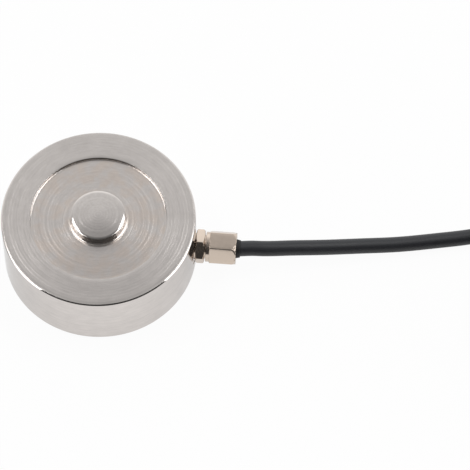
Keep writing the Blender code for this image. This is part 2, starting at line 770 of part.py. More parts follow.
def tail_point(share):
    """A point of the cable's free end as it leaves the coil and comes down beside it."""
    angle = TAIL_START + (TAIL_END - TAIL_START) * share
    start = COIL_OUTER_TURN + 2 * CABLE_RADIUS + COIL_GAP
    radius = start + (TAIL_RADIUS - start) * share
    top = COIL_FLOOR_TURN + COIL_LAYER_PITCH * (COIL_LAYERS - 2)
    ease = share * share * (3 - 2 * share)
    return on_coil(angle, radius, top + (SLEEVE_RADIUS - top) * ease)


def make_tail(jacket):
    """The cable from the coil's top layer down to the sleeve at its free end."""
    centre, heading, _ = sleeve_frame()
    route = [tail_point(step / TAIL_STEPS) for step in range(TAIL_STEPS + 1)]
    route += [centre - heading * SLEEVE_LENGTH / 2, centre]
    return make_tube(
        "cable_tail", smooth_route(route, 3 * CABLE_RADIUS), CABLE_RADIUS, jacket, 3,
    )


def sleeve_frame():
    """Middle, heading and left-hand direction of the straight sleeve at the free end."""
    heading = Vector((math.sin(TAIL_END), -math.cos(TAIL_END), 0))
    centre = tail_point(1) + heading * (STRAIGHT_EXIT + SLEEVE_LENGTH / 2)
    return centre, heading, Vector((-heading.y, heading.x, 0))


def make_sleeve(shrink):
    """Shrink sleeve over the end of the jacket, necked down onto the cores."""
    centre, heading, _ = sleeve_frame()
    bore = CABLE_RADIUS + SEAL_CLEARANCE
    neck = CABLE_RADIUS
    profile = [
        (0, COIL_GAP),
        (bore, COIL_GAP),
        (bore, -SLEEVE_LENGTH / 2),
        (SLEEVE_RADIUS, -SLEEVE_LENGTH / 2),
        (SLEEVE_RADIUS, SLEEVE_LENGTH / 6),
        (neck, SLEEVE_LENGTH / 2),
        (0, SLEEVE_LENGTH / 2),
    ]
    sleeve = turned("end_sleeve", profile, shrink, GLAND_SEGMENTS // 2, ring=False)
    sleeve.rotation_mode = "QUATERNION"
    sleeve.rotation_quaternion = heading.to_track_quat("Z", "X")
    sleeve.location = centre
    return sleeve


def lead_route(offset, rise, length, radius, spread):
    """Route of one core beyond the sleeve: it fans out and comes down to the surface."""
    centre, heading, left = sleeve_frame()
    begin = centre + heading * (SLEEVE_LENGTH / 2 + SOLDER_GAP)
    full = LEAD_LENGTH + LEAD_TIP_LENGTH
    points = []
    for step in (0, 0.15, 0.4, 0.7, 1):
        along = length * step
        share = along / full
        sideways = offset + spread * share**1.5 - LEAD_CURL * share**2
        drop = (rise + SLEEVE_RADIUS - radius) * (1 - (1 - step) ** 3)
        points.append(begin + heading * along + left * sideways + Vector((0, 0, rise - drop)))
    return smooth_route(points, length / 8)


def make_leads(materials, tinned):
    """Core ends beyond the sleeve, their tinned tips and the shield's drain wire."""
    slots = (-1.5, -0.5, 0.5, 1.5)
    for slot, colour in zip(slots, CORE_COLOURS):
        rise = (CORE_RADIUS + CORE_GAP / 2) * (1 if abs(slot) < 1 else -1)
        spread = LEAD_SPREAD * slot
        offset = slot * (2 * CORE_RADIUS + CORE_GAP / 2)
        full = LEAD_LENGTH + LEAD_TIP_LENGTH
        whole = lead_route(offset, rise, full, CORE_RADIUS, spread)
        bare = 2
        insulated = whole[: len(whole) - bare]
        make_tube(f"lead_{colour}", insulated, CORE_RADIUS, materials[colour])
        direction = (whole[-1] - whole[-bare]).normalized()
        tip = [insulated[-1] + direction * SOLDER_GAP, *whole[-bare:]]
        make_tube(f"lead_tip_{colour}", tip, LEAD_TIP_RADIUS, tinned, 1)
    drain = lead_route(0, -DRAIN_DROP, LEAD_LENGTH, DRAIN_RADIUS, 0)
    make_tube("shield_drain", drain, DRAIN_RADIUS, tinned, 1)


def build():
    clear_scene()
    steel = finish_material("turned_stainless_steel", 0xC9C4BF, 0.32, 1.0)
    nickel = finish_material("nickel_plated_brass", 0xC8BFB2, 0.25, 1.0)
    rubber = finish_material("black_rubber", 0x1C1C1C, 0.8)
    jacket = finish_material("dark_cable_jacket", 0x303134, 0.45)
    laminate = finish_material("green_laminate", 0x2F5E3A, 0.5)
    foil = finish_material("gauge_film_and_foil", 0xB98A45, 0.4)
    ceramic = finish_material("chip_resistor_ceramic", 0x26282B, 0.5)
    enamel = finish_material("enamelled_copper", 0x9A4B24, 0.35, 0.6)
    nylon = finish_material("black_nylon", 0x17181A, 0.4)
    shrink = finish_material("shrink_sleeve", 0x111213, 0.55)
    tinned = finish_material("tinned_copper", 0xC4C4C6, 0.3, 1.0)
    insulation = {
        colour: finish_material(f"{colour}_insulation", value, 0.4)
        for colour, value in CORE_COLOURS.items()
    }
    make_body(steel)
    make_cover(steel)
    make_board(laminate)
    for index, degrees in enumerate(RESISTOR_ANGLES, 1):
        make_resistor(index, degrees, ceramic)
    for index in range(GAUGES):
        make_gauge(index, foil)
        make_gauge_wires(index, enamel)
    make_gland_body(nickel)
    make_gland_nut(nickel)
    make_gland_seal(rubber)
    make_cable(jacket)
    make_inner_cores(insulation)
    make_coil(jacket)
    make_tail(jacket)
    make_sleeve(shrink)
    make_leads(insulation, tinned)
    for index, degrees in enumerate(TIE_ANGLES, 1):
        make_tie(index, degrees, nylon)


build()
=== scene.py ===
"""Button load cell, dressed: turned sensing body, gland, cable, ties and free end.

The file is laid out as an add-on. Each operator makes one piece, or one group of like pieces,
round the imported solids, and a panel in the sidebar lists them in the order they are made.
Metres, +Z up. The origin is on the axis of the body, in the plane that it stands on, and the
cable leaves along +X.
"""

import math

import bmesh
import bpy
import numpy as np
from mathutils import Matrix, Vector


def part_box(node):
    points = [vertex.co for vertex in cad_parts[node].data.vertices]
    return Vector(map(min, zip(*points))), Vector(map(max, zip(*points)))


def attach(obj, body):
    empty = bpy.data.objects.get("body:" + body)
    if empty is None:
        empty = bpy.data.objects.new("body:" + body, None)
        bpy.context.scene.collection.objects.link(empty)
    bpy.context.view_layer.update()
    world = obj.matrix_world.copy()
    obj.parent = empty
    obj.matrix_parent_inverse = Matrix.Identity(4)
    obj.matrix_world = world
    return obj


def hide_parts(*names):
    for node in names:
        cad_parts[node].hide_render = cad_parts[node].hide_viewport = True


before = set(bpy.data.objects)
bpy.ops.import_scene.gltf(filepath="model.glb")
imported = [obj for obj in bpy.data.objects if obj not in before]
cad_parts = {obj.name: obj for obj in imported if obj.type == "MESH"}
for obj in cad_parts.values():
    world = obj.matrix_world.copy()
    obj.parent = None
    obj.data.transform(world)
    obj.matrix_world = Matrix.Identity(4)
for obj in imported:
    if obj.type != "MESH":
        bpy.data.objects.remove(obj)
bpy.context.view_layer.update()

bl_info = {
    "name": "Button Load Cell",
    "version": (1, 0, 0),
    "blender": (4, 5, 0),
    "location": "View3D > Sidebar > Load Cell",
    "description": "Makes the visible pieces of a button load cell round its packed solids",
    "category": "Object",
}

BODY = "root"
BODY_RADIUS = 0.0250
MERGE = 2e-7


# Colours

def linear(hex_colour):
    """An sRGB colour written as RRGGBB, as linear red, green and blue."""
    channels = np.array([int(hex_colour[i : i + 2], 16) for i in (0, 2, 4)]) / 255
    return tuple(
        np.where(channels <= 0.04045, channels / 12.92, ((channels + 0.055) / 1.055) ** 2.4)
    )


def length(name, description, metres):
    return bpy.props.FloatProperty(
        name=name, description=description, default=metres, unit="LENGTH", precision=5,
    )


def angle(name, description, degrees):
    return bpy.props.FloatProperty(
        name=name, description=description, default=math.radians(degrees), unit="ROTATION",
    )


def amount(name, description, value):
    return bpy.props.FloatProperty(name=name, description=description, default=value)


def colour(name, description, hex_colour):
    return bpy.props.FloatVectorProperty(
        name=name, description=description, default=linear(hex_colour), subtype="COLOR",
    )


# Sizes and colours that a user would change

class BodySettings(bpy.types.PropertyGroup):
    radius: length("Radius", "Outer radius of the sensing body", BODY_RADIUS)
    height: length("Height", "From the foot to the plane of the rim", 0.0188)
    rim_width: length("Rim width", "Width of the flat rim", 0.0075)
    recess_depth: length("Recess depth", "From the rim down to the diaphragm", 0.00085)
    top_break: length("Top edge", "Chamfer at the rim's outer edge", 0.0003)
    foot_break: length("Foot edge", "Chamfer at the foot", 0.0004)
    button_radius: length("Button radius", "Radius of the load button", 0.0070)
    button_standout: length("Button standout", "Edge of the button above the rim", 0.0015)
    button_crown: length("Crown", "Rise of the button's domed face", 0.0005)
    root_fillet: length("Root fillet", "Fillet between button and diaphragm", 0.0004)
    diaphragm: length("Diaphragm", "Thickness of the diaphragm", 0.0050)
    steel: colour("Steel", "Turned stainless steel", "DBD5D1")


class GlandSettings(bpy.types.PropertyGroup):
    collar_flats: length("Collar", "Across the flats of the collar", 0.0080)
    collar_turn: angle("Collar turn", "Turn of the collar's hexagon", 14)
    nut_flats: length("Nut", "Across the flats of the nut", 0.0080)
    nut_turn: angle("Nut turn", "Turn of the nut's hexagon", 32)
    corner: length("Corner", "Rounding of the hexagons' corners", 0.00027)
    plate: colour("Plate", "Satin nickel plate on brass", "D3C4B6")
    rubber: colour("Rubber", "Moulded seal", "161617")


class CableSettings(bpy.types.PropertyGroup):
    radius: length("Radius", "Outer radius of the jacket", 0.0020)
    length: length("Length", "Whole length of the cable", 2.0)
    jacket: colour("Jacket", "Extruded jacket", "292A2E")
    tie: colour("Ties", "Moulded cable ties", "141516")
    sleeve: colour("Sleeve", "Shrink sleeve over the end of the jacket", "0F1011")


class StudioSettings(bpy.types.PropertyGroup):
    azimuth: angle("Azimuth", "Where the camera stands round the body", 4.5)
    elevation: angle("Elevation", "Height of the camera above the horizon", 62.94)
    distance: length("Distance", "From the camera to the plane that it looks at", 0.9478)
    aim_right: length("Aim right", "How far right of the rim's centre the view is centred", 0.03501)
    aim_up: length("Aim up", "How far above the rim's centre the view is centred", -0.00437)
    lens: amount("Lens", "Focal length in millimetres on a square 36 mm sensor", 283.4)
    floor: colour("Floor", "Pale floor under the object", "FAFAFA")


class LoadCellSettings(bpy.types.PropertyGroup):
    body: bpy.props.PointerProperty(type=BodySettings)
    gland: bpy.props.PointerProperty(type=GlandSettings)
    cable: bpy.props.PointerProperty(type=CableSettings)
    studio: bpy.props.PointerProperty(type=StudioSettings)


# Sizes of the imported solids, in metres. The collar's washer face and the cable's sway at its
# exit are made here alone
SPOT_DEPTH = 0.0004
SPOT_RADIUS = 0.0048
SEAT_X = BODY_RADIUS - SPOT_DEPTH
GLAND_HEIGHT = sum(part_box("gland_nut")[i].z for i in (0, 1)) / 2
THREAD_RADIUS = 0.0030
THREAD_CLEARANCE = 0.0001
SHANK_LENGTH = 0.0060
COLLAR_LENGTH = 0.0027
WASHER_RADIUS = 0.0034
WASHER_FACE = 0.00045
SPIGOT_LENGTH = 0.0035
NUT_START = COLLAR_LENGTH + 0.0003
NUT_SHOULDER = 0.0010
NUT_LENGTH = 0.0069
NUT_END = NUT_START + NUT_SHOULDER + NUT_LENGTH
MOUTH_RADIUS = 0.00255
MOUTH_LENGTH = 0.0009
CONE_LENGTH = 0.0006
SEAL_STANDOUT = 0.0010
SEAL_CLEARANCE = 0.0001
SEAL_LIP = 0.00015
GLAND_BORE = 0.0021
SHOULDER_INSET = 0.0001
EXIT_X = SEAT_X + NUT_END + SEAL_STANDOUT
COLLAR_CHAMFER = math.tan(math.radians(30))
NUT_BACK_CHAMFER = math.tan(math.radians(9))
NUT_FRONT_CHAMFER = math.tan(math.radians(60))

COVER_SEAT_RADIUS = BODY_RADIUS - 0.0060
COVER_INSET, COVER_TOP = (corner.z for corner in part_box("base_cover"))
COVER_RADIUS = COVER_SEAT_RADIUS - 0.0001
BOARD_SEAT_RADIUS = COVER_SEAT_RADIUS - 0.0018
CAVITY_RADIUS = BOARD_SEAT_RADIUS - 0.0010
BOARD_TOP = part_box("bridge_board")[1].z
BOSS_RADIUS = 0.0060
OVERLOAD_GAP = 0.0005
CAVITY_FILLET = 0.0010

HOLE_RADIUS = 0.0015
HOLE_DEPTH = 0.0060
HOLE_PITCH = 0.0005
HOLE_CIRCLE = BODY_RADIUS - 0.0030
HOLE_COUNT = 4
HOLE_MOUTH = 0.0012
DRILL_TIP = 0.6
CUTTER_MARGIN = 0.001

CABLE_ROUTE = (
    (0.0420, 0.0006, 0.00675),
    (0.0500, 0.0018, 0.0060),
    (0.0580, 0.0032, 0.0048),
    (0.0670, 0.0049, 0.0036),
    (0.0770, 0.0066, 0.00275),
    (0.0870, 0.0087, 0.0023),
    (0.0955, 0.0106, 0.0021),
    (0.1020, 0.0123, 0.0024),
)
STRAIGHT_EXIT = 0.0030
EXIT_SWAY = 0.00045
COIL_CENTRE = (0.1310, -0.0090)
COIL_COLUMNS = 4
COIL_LAYERS = 4
COIL_MID_RADIUS = 0.0225
COIL_LAYER_PITCH = 0.0035
COIL_ARRIVAL = math.radians(106)
COIL_GAP = 0.0003
TIE_THICKNESS = 0.0009
TIE_WIDTH = 0.0025
TIE_CLEARANCE = 0.0003
TIE_HEAD = (0.0031, 0.0042, 0.0046)
TIE_STUB_LENGTH = 0.0014
TIE_ANGLES = (84, 215)
TAIL_START = math.radians(40)
TAIL_END = math.radians(0)
TAIL_RADIUS = 0.0340
SLEEVE_LENGTH = 0.0120
SLEEVE_RADIUS = 0.0025
CORE_RADIUS = 0.00045
CORE_GAP = 0.00018
CORE_COLOURS = {"red": "B32020", "black": "151515", "green": "1E7A3A", "white": "E4E2DC"}
LEAD_LENGTH = 0.0270
LEAD_TIP_LENGTH = 0.0060
LEAD_TIP_RADIUS = 0.00030
LEAD_SPREAD = 0.0034
LEAD_CURL = 0.0070
DRAIN_RADIUS = 0.00040
DRAIN_DROP = 0.0011
SOLDER_GAP = 0.0001

# Fine edges of the pieces made here, in metres, and how finely the pieces are divided
BUTTON_EDGE = 0.0002
RECESS_FILLET = 0.0002
BLEND_WIDTH = 0.0034
BLEND_SLOPE = 0.03
RECESS_EDGE = 0.00006
COVER_EDGE = 0.0002
BOSS_EDGE = 0.0003
FINE_EDGE = 0.00008
CRISP_EDGE = 0.00001
FITTING_EDGES = (
    0.0001, 0.0004, 0.00005, 0.0001, 0.00005, 0.00005, 0.0001,
    0.0001, 0.00005, 0.00005, 0.0004, 0.0001,
)
NUT_EDGES = (0.0001, 0.00015, 0.00002, 0.00002, 0.0001, 0.0001, 0.0002, 0.0001, 0.0001, 0.0001)
THREAD_DEPTH = 0.00022
SMOOTH_ANGLE = 35
CUT_SMOOTH_ANGLE = 30
BODY_SEGMENTS = 240
ROUTE_SPACING = 0.0015
COIL_POINTS = 72
LAST_TURN = 28 / 360
STEP_SHARE = 1 / 8
CROSSING_HUMP = 0.0005

# Patterns of the surfaces: sizes in metres, and shares of a colour, a brightness or a radius
RING_SPACING = 0.0006
CLOUD_SIZE = 0.0035
DIAPHRAGM_BAND = (0.01225, 0.00525)
FINISH_STOPS = ((0.26, 0.5), (0.29, 0.9), (0.37, 0.9), (0.42, 0.8))
STRAW = (0.98, 0.935, 0.895)
LEAN = 0.016
STEEL_GLANCE = (0.82, 0.82, 0.82)
STREAK_TURNS = 7.0
STREAK_SPACING = 0.0005
LINE_SHARE = 0.9
STEEL_SHADES = (0.93, 1.06)
PATCH_RANGE = (1.05, 1.75)
BLOTCH_RANGE = (0.4, 0.6)
RING_RANGE = (0.3, 0.7)
FACED_ROUGHNESS = (0.075, 0.30)
WALL_ROUGHNESS = 0.06
FACED_FROM = 0.96
GRAIN_DEPTH = 0.00002
ROUGHNESS_SPREAD = 0.06
# Moulded, extruded and coated surfaces: roughness, size of the grain in metres, share of metal
FINISHES = {
    "moulded_rubber": (0.62, 0.0003, 0),
    "extruded_cable_jacket": (0.46, 0.0006, 0),
    "moulded_nylon": (0.38, 0.0008, 0),
    "shrink_sleeve": (0.5, 0.0009, 0),
    "core_insulation": (0.36, 0.0004, 0),
    "tinned_copper": (0.28, 0.0003, 1),
    "glass_laminate": (0.45, 0.0004, 0),
    "chip_ceramic": (0.5, 0.0003, 0),
    "polyimide_and_foil": (0.35, 0.0003, 0),
    "enamelled_copper": (0.3, 0.0004, 0.7),
}
# The inner nodes that stay as packed, by the start of their names: finish and colour
INSIDE = {
    "bridge_board": ("glass_laminate", "2F5E3A"),
    "bridge_resistor": ("chip_ceramic", "26282B"),
    "strain_gauge": ("polyimide_and_foil", "B98A45"),
    "gauge_wire": ("enamelled_copper", "9A4B24"),
}

# Light of the studio: brightness of the room along the view, from the camera's side to the
# far side, as shares of its brightest part
SKY_LEVEL = 1.22
SKY_STOPS = (
    (0.05, 0.04), (0.29, 0.08), (0.50, 0.16), (0.646, 0.30), (0.727, 0.52), (0.794, 0.61),
    (0.835, 0.65), (0.87, 0.78), (0.93, 1.0),
)
# Softboxes, in pairs on both sides of the view: degrees round from the camera and above the
# horizon, width and height at 2 m from the object, and brightness of the face
SOFTBOX_AWAY = 2.0
SOFTBOXES = {
    "high_front": (88, 63, 0.75, 0.5, 4.3),
    "high_back": (122, 62, 0.72, 0.45, 4.3),
    "low": (84, 17, 1.9, 0.7, 2.2),
}
FLOOR_RADIUS = 6.0
FLOOR_WHITE = 0.95
FLOOR_MIRRORED = 0.74


# Surfaces as grids of points

def soften(rows, roundings, steps=4):
    """Rounds corners along the columns of a grid of shape (rows, columns, axes).

    Round a corner V the column follows (1-t)^2 A + 2t(1-t) V + t^2 B, where A and B lie one
    rounding before and after V on its two sides, and t runs from 0 to 1.
    """
    t = np.linspace(0, 1, steps + 1)[:, None, None]
    before, after = np.roll(rows, 1, axis=0), np.roll(rows, -1, axis=0)
    made = []
    for corner, previous, following, rounding in zip(rows, before, after, roundings):
        if not rounding:
            made.append(corner[None])
            continue
        start = corner + unit(previous - corner) * rounding
        end = corner + unit(following - corner) * rounding
        made.append((1 - t) ** 2 * start + 2 * t * (1 - t) * corner + t**2 * end)
    return np.concatenate(made)


def profile(corners):
    """Half section from (radius, height, rounding) corners, as an (n, 2) array."""
    corners = np.array(corners, float)
    return soften(corners[:, None, :2], corners[:, 2])[:, 0]


def arc(centre, radius, start, end, steps):
    """Corners on a circle between two angles in degrees, with no rounding of their own."""
    turn = np.radians(np.linspace(start, end, steps + 1))
    across = centre[0] + radius * np.cos(turn)
    up = centre[1] + radius * np.sin(turn)
    return np.stack([across, up, np.zeros_like(turn)], axis=1).tolist()


def between(start, stop, count):
    """Evenly spaced values between two ends, without the ends themselves."""
    return np.linspace(start, stop, count)[1:-1]


def revolve(half_section, segments):
    """Turns a half section round Z: x = r cos a, y = r sin a, z as it is."""
    turn = np.linspace(0, math.tau, segments, endpoint=False)[None]
    radius, height = half_section[:, :1], half_section[:, 1:]
    return np.stack(
        [radius * np.cos(turn), radius * np.sin(turn), height + 0 * turn], axis=-1
    )


def rounded_hexagon(across_flats, corner, turn, flat_steps=6, corner_steps=5):
    """Outline of a hexagon with rounded corners, as (points, 2).

    Each corner is an arc of the given radius about a centre on the corner's ray, at a distance
    (flats / 2 - radius) / cos 30 from the axis. The flats are divided evenly between arcs.
    """
    rays = turn + np.arange(6)[:, None] * math.pi / 3
    reach = (across_flats / 2 - corner) / math.cos(math.pi / 6)
    sweep = rays + np.linspace(-math.pi / 6, math.pi / 6, corner_steps + 1)[None]
    arcs = reach * np.stack([np.cos(rays), np.sin(rays)], -1)
    arcs = arcs + corner * np.stack([np.cos(sweep), np.sin(sweep)], -1)
    share = np.linspace(0, 1, flat_steps + 1)[1:-1][None, :, None]
    flats = arcs[:, -1:] * (1 - share) + np.roll(arcs[:, :1], -1, axis=0) * share
    return np.concatenate([arcs, flats], axis=1).reshape(-1, 2)


def hexagon_row(outline, face, height, slope):
    """The row on a hexagon's outline where a chamfer meets it. Its height follows the cone:
    height + slope * (distance from the axis - radius at the face)."""
    reach = np.linalg.norm(outline, axis=1)
    return np.column_stack([outline, height + slope * (reach - face)])


def circle_row(outline, radius, height):
    """One row on a circle, at the same polar angles as the outline's points."""
    outward = outline / np.linalg.norm(outline, axis=1, keepdims=True)
    return np.column_stack([outward * radius, np.full(len(outline), height)])


def on_gland_axis(rows):
    """Lays rows made along Z onto the gland's axis: Z becomes X, X becomes minus Z."""
    return np.stack(
        [SEAT_X + rows[..., 2], rows[..., 1], GLAND_HEIGHT - rows[..., 0]], axis=-1
    )


def unit(vectors):
    """Vectors of length 1. One with no length stays as it is."""
    return vectors / np.maximum(np.linalg.norm(vectors, axis=-1, keepdims=True), 1e-9)


def smooth_route(points, spacing):
    """Points about one spacing apart on a smooth curve through the given points.

    Each stretch is a cubic whose end slopes follow the chords to the neighbouring points.
    """
    points = np.array(points, float)
    chords = np.diff(points, axis=0)
    lengths = np.linalg.norm(chords, axis=1)
    heading = chords / lengths[:, None]
    share = (lengths[:-1] / (lengths[:-1] + lengths[1:]))[:, None]
    inner = heading[:-1] * (1 - share) + heading[1:] * share
    slopes = np.concatenate([heading[:1], inner, heading[-1:]])
    route = [points[:1]]
    for i, span in enumerate(lengths):
        count = max(1, round(span / spacing))
        t = (np.arange(1, count + 1) / count)[:, None]
        route.append(
            points[i] * (2 * t**3 - 3 * t**2 + 1)
            + slopes[i] * span * (t**3 - 2 * t**2 + t)
            + points[i + 1] * (3 * t**2 - 2 * t**3)
            + slopes[i + 1] * span * (t**3 - t**2)
        )
    return np.concatenate(route)


def tube(path, radius, sides, end_rounding):
    """A round tube along a path: P + r (cos a side + sin a up), closed and rounded at its ends.

    side is level and across the path, and up is square to both. radius is one number, or one
    for each point of the path.
    """
    forward = unit(np.gradient(path, axis=0))
    side = unit(np.cross(forward, (0, 0, 1)))
    up = np.cross(side, forward)
    turn = np.linspace(0, math.tau, sides, endpoint=False)[None, :, None]
    ring = np.cos(turn) * side[:, None] + np.sin(turn) * up[:, None]
    radius = np.broadcast_to(radius, len(path))[:, None, None]
    rows = path[:, None] + radius * ring
    lift = np.radians([90, 60, 30, 0])[:-1, None, None]
    first = rows[0] - path[0]
    last = rows[-1] - path[-1]
    shrink = 1 - end_rounding * (1 - np.cos(lift)) / radius[0]
    shrink[0] = 0
    reach = end_rounding * np.sin(lift)
    start = path[0] + first * shrink - forward[0] * reach
    end = (path[-1] + last * shrink + forward[-1] * reach)[::-1]
    return np.concatenate([start, rows, end])


# Meshes

def add_object(name, data):
    made = bpy.data.objects.new(name, data)
    bpy.context.scene.collection.objects.link(made)
    return made


def surface(name, rows, material, ring=False):
    """Joins a grid of points into one closed mesh that rides on the body.

    Every row closes on itself. With ring set the last row also joins the first. Points that
    fall together at a pole are merged, and the faces are turned outwards.
    """
    count, around = rows.shape[:2]
    index = np.arange(count * around).reshape(count, around)
    near = index if ring else index[:-1]
    far = np.roll(index, -1, axis=0) if ring else index[1:]
    quads = np.stack([near, np.roll(near, -1, 1), np.roll(far, -1, 1), far], -1).reshape(-1, 4)
    mesh = bpy.data.meshes.new(name)
    mesh.from_pydata(rows.reshape(-1, 3).tolist(), [], quads.tolist())
    along = np.linalg.norm(np.diff(rows[:, 0], axis=0), axis=1)
    along = np.concatenate([[0], np.cumsum(along)])
    row_of, column_of = np.divmod(quads, around)
    wrapped = column_of[:, [1, 2]] == 0
    turns = column_of / around
    turns[:, [1, 2]] += wrapped
    values = np.stack([turns, along[row_of]], -1)
    layer = mesh.uv_layers.new(name="turn_and_length")
    layer.uv.foreach_set("vector", values.astype(np.float32).ravel())
    return finish(name, mesh, material)


def finish(name, mesh, material):
    """Merges doubles, turns faces outwards, shades by angle and puts the object on the body."""
    bm = bmesh.new()
    bm.from_mesh(mesh)
    bmesh.ops.remove_doubles(bm, verts=bm.verts, dist=MERGE)
    bmesh.ops.recalc_face_normals(bm, faces=bm.faces)
    bm.to_mesh(mesh)
    bm.free()
    mesh.shade_smooth()
    mesh.set_sharp_from_angle(angle=math.radians(SMOOTH_ANGLE))
    mesh.materials.append(material)
    piece = add_object(name, mesh)
    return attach(piece, BODY)


# Materials

def new_material(name):
    material = bpy.data.materials.new(name)
    material.use_nodes = True
    return material, material.node_tree, material.node_tree.nodes["Principled BSDF"]


def fill(tree, node, inputs):
    """Links each input that is given a socket, and sets each that is given a value."""
    for key, value in inputs.items():
        if isinstance(value, bpy.types.NodeSocket):
            tree.links.new(value, node.inputs[key])
        else:
            node.inputs[key].default_value = value


def add(tree, kind, inputs=(), **settings):
    """Adds a node with its settings and inputs."""
    made = tree.nodes.new("ShaderNode" + kind)
    for key, value in settings.items():
        setattr(made, key, value)
    fill(tree, made, dict(inputs))
    return made


def maths(tree, operation, *values):
    """Result of a Math node on sockets or numbers."""
    return add(tree, "Math", dict(enumerate(values)), operation=operation).outputs[0]


def vectors(tree, operation, *values):
    """Result of a Vector Math node on sockets or triples."""
    return add(tree, "VectorMath", dict(enumerate(values)), operation=operation).outputs[0]


def mapped(tree, value, source, target=(0, 1)):
    """A value taken from one range to another and held within it."""
    inputs = {"Value": value, "From Min": source[0], "From Max": source[1]}
    inputs |= {"To Min": target[0], "To Max": target[1]}
    return add(tree, "MapRange", inputs).outputs[0]


def noise(tree, place, size, detail=3):
    """Noise whose patches are about one size across."""
    return add(tree, "TexNoise", {"Vector": place, "Scale": 1 / size, "Detail": detail}).outputs[0]


def mixed(tree, share, first, second):
    """A colour that goes from the first to the second as the share goes from 0 to 1."""
    first, second = ((*end, 1) if isinstance(end, tuple) else end for end in (first, second))
    return add(tree, "Mix", {"Factor": share, 6: first, 7: second}, data_type="RGBA").outputs[2]


def ramped(tree, share, stops):
    """A grey that goes through the stops, each a place along the share and a brightness."""
    ramp = add(tree, "ValToRGB", {0: share})
    places = ramp.color_ramp.elements
    while len(places) < len(stops):
        places.new(0.5)
    for place, (where, level) in zip(places, stops):
        place.position = where
        place.color = (level, level, level, 1)
    return ramp.outputs[0]


def shaded(rgb, share, tint=(1, 1, 1)):
    return tuple(channel * part * share for channel, part in zip(rgb, tint))


def turned_steel(name, rgb):
    """Stainless steel off the lathe. Fine rings stretch each highlight across them, so that a
    faced surface shows soft bright sectors. The walls turned along the axis are smoother and
    mirror what is beside them. The rings are drawn 0.6 mm apart, coarser than the tool's feed,
    so that they show. Faces square to the axis lean outwards by LEAN, and the diaphragm's band
    has blotches of a slight straw tint."""
    material, tree, shader = new_material(name)
    place = add(tree, "TexCoord").outputs["Object"]
    flat = vectors(tree, "MULTIPLY", place, (1, 1, 0))
    reach = add(tree, "VectorMath", {0: flat}, operation="LENGTH").outputs["Value"]
    outward = vectors(tree, "NORMALIZE", flat)
    along = add(tree, "SeparateXYZ", {0: place}).outputs["Z"]
    normal = add(tree, "NewGeometry").outputs["Normal"]
    facing = maths(tree, "ABSOLUTE", add(tree, "SeparateXYZ", {0: normal}).outputs["Z"])
    feed = maths(tree, "ADD", reach, along)
    rings = add(
        tree, "TexNoise", {"W": feed, "Scale": 1 / RING_SPACING, "Detail": 3, "Roughness": 0.7},
        noise_dimensions="1D",
    ).outputs[0]
    clouds = noise(tree, place, CLOUD_SIZE, 4)
    level = add(tree, "CombineXYZ", {"Z": maths(tree, "MULTIPLY", feed, 1 / STREAK_SPACING)})
    swept = vectors(tree, "MULTIPLY_ADD", outward, (STREAK_TURNS,) * 3, level.outputs[0])
    patches = clouds
    for lines in (noise(tree, swept, 1), rings):
        patches = maths(tree, "MULTIPLY_ADD", lines, LINE_SHARE, patches)
    patches = mapped(tree, patches, PATCH_RANGE)
    band = maths(tree, "COMPARE", reach, *DIAPHRAGM_BAND)
    blotch = mapped(tree, clouds, BLOTCH_RANGE, (0, maths(tree, "MULTIPLY", band, facing)))
    plain, straw = (
        mixed(tree, patches, *(shaded(rgb, shade, tint) for shade in STEEL_SHADES))
        for tint in ((1, 1, 1), STRAW)
    )
    share = maths(tree, "MULTIPLY", reach, 1 / BODY_RADIUS)
    lands = mapped(tree, rings, RING_RANGE, FACED_ROUGHNESS)
    lands = maths(tree, "MULTIPLY", lands, ramped(tree, share, FINISH_STOPS))
    bump = add(tree, "Bump", {"Height": rings, "Strength": 0.1, "Distance": RING_SPACING / 8})
    lean = maths(tree, "MULTIPLY", facing, LEAN)
    leant = add(tree, "VectorMath", {0: outward, "Scale": lean}, operation="SCALE").outputs[0]
    leant = vectors(tree, "NORMALIZE", vectors(tree, "ADD", bump.outputs[0], leant))
    fill(tree, shader, {
        "Base Color": mixed(tree, blotch, plain, straw),
        "Roughness": mapped(tree, facing, (FACED_FROM, 1), (WALL_ROUGHNESS, lands)),
        "Normal": leant,
        "Tangent": add(tree, "Tangent", direction_type="RADIAL", axis="Z").outputs[0],
        "Metallic": 1,
        "Specular Tint": (*STEEL_GLANCE, 1),
        "Anisotropic": 0.75,
        "Anisotropic Rotation": 0.25,
    })
    return material


def grained(name, rgb, size, shades, roughness, strength, metallic):
    """A surface whose colour and roughness both follow a fine grain, from the first to the
    second of the two shades and roughnesses. The shades are shares of the colour."""
    material, tree, shader = new_material(name)
    grain = noise(tree, add(tree, "TexCoord").outputs["Object"], size)
    tint = mixed(tree, grain, *(shaded(rgb, shade) for shade in shades))
    bump = add(tree, "Bump", {"Height": grain, "Strength": strength, "Distance": GRAIN_DEPTH})
    fill(tree, shader, {
        "Base Color": tint,
        "Roughness": mapped(tree, grain, (0, 1), roughness),
        "Normal": bump.outputs[0],
        "Metallic": metallic,
    })
    return material


def nickel_plate(rgb):
    """Satin nickel on brass: warm grey and even, with the faint clouding of barrel plating."""
    return grained(
        "satin_nickel_plate", rgb, size=0.0015, shades=(0.95, 1.04), roughness=(0.17, 0.23),
        strength=0.1, metallic=1,
    )


def polymer(name, rgb, finish=None):
    """A moulded, extruded or coated surface: one colour that varies a little, over the fine
    grain of its finish, which breaks up its sheen."""
    roughness, size, metallic = FINISHES[finish or name]
    spread = (roughness - ROUGHNESS_SPREAD, roughness + ROUGHNESS_SPREAD)
    return grained(name, rgb, size, (0.85, 1), spread, strength=0.3, metallic=metallic)


def dress(start, material):
    """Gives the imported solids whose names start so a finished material."""
    for name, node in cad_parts.items():
        if name.startswith(start):
            for slot in node.material_slots:
                slot.material = material


# The sensing body

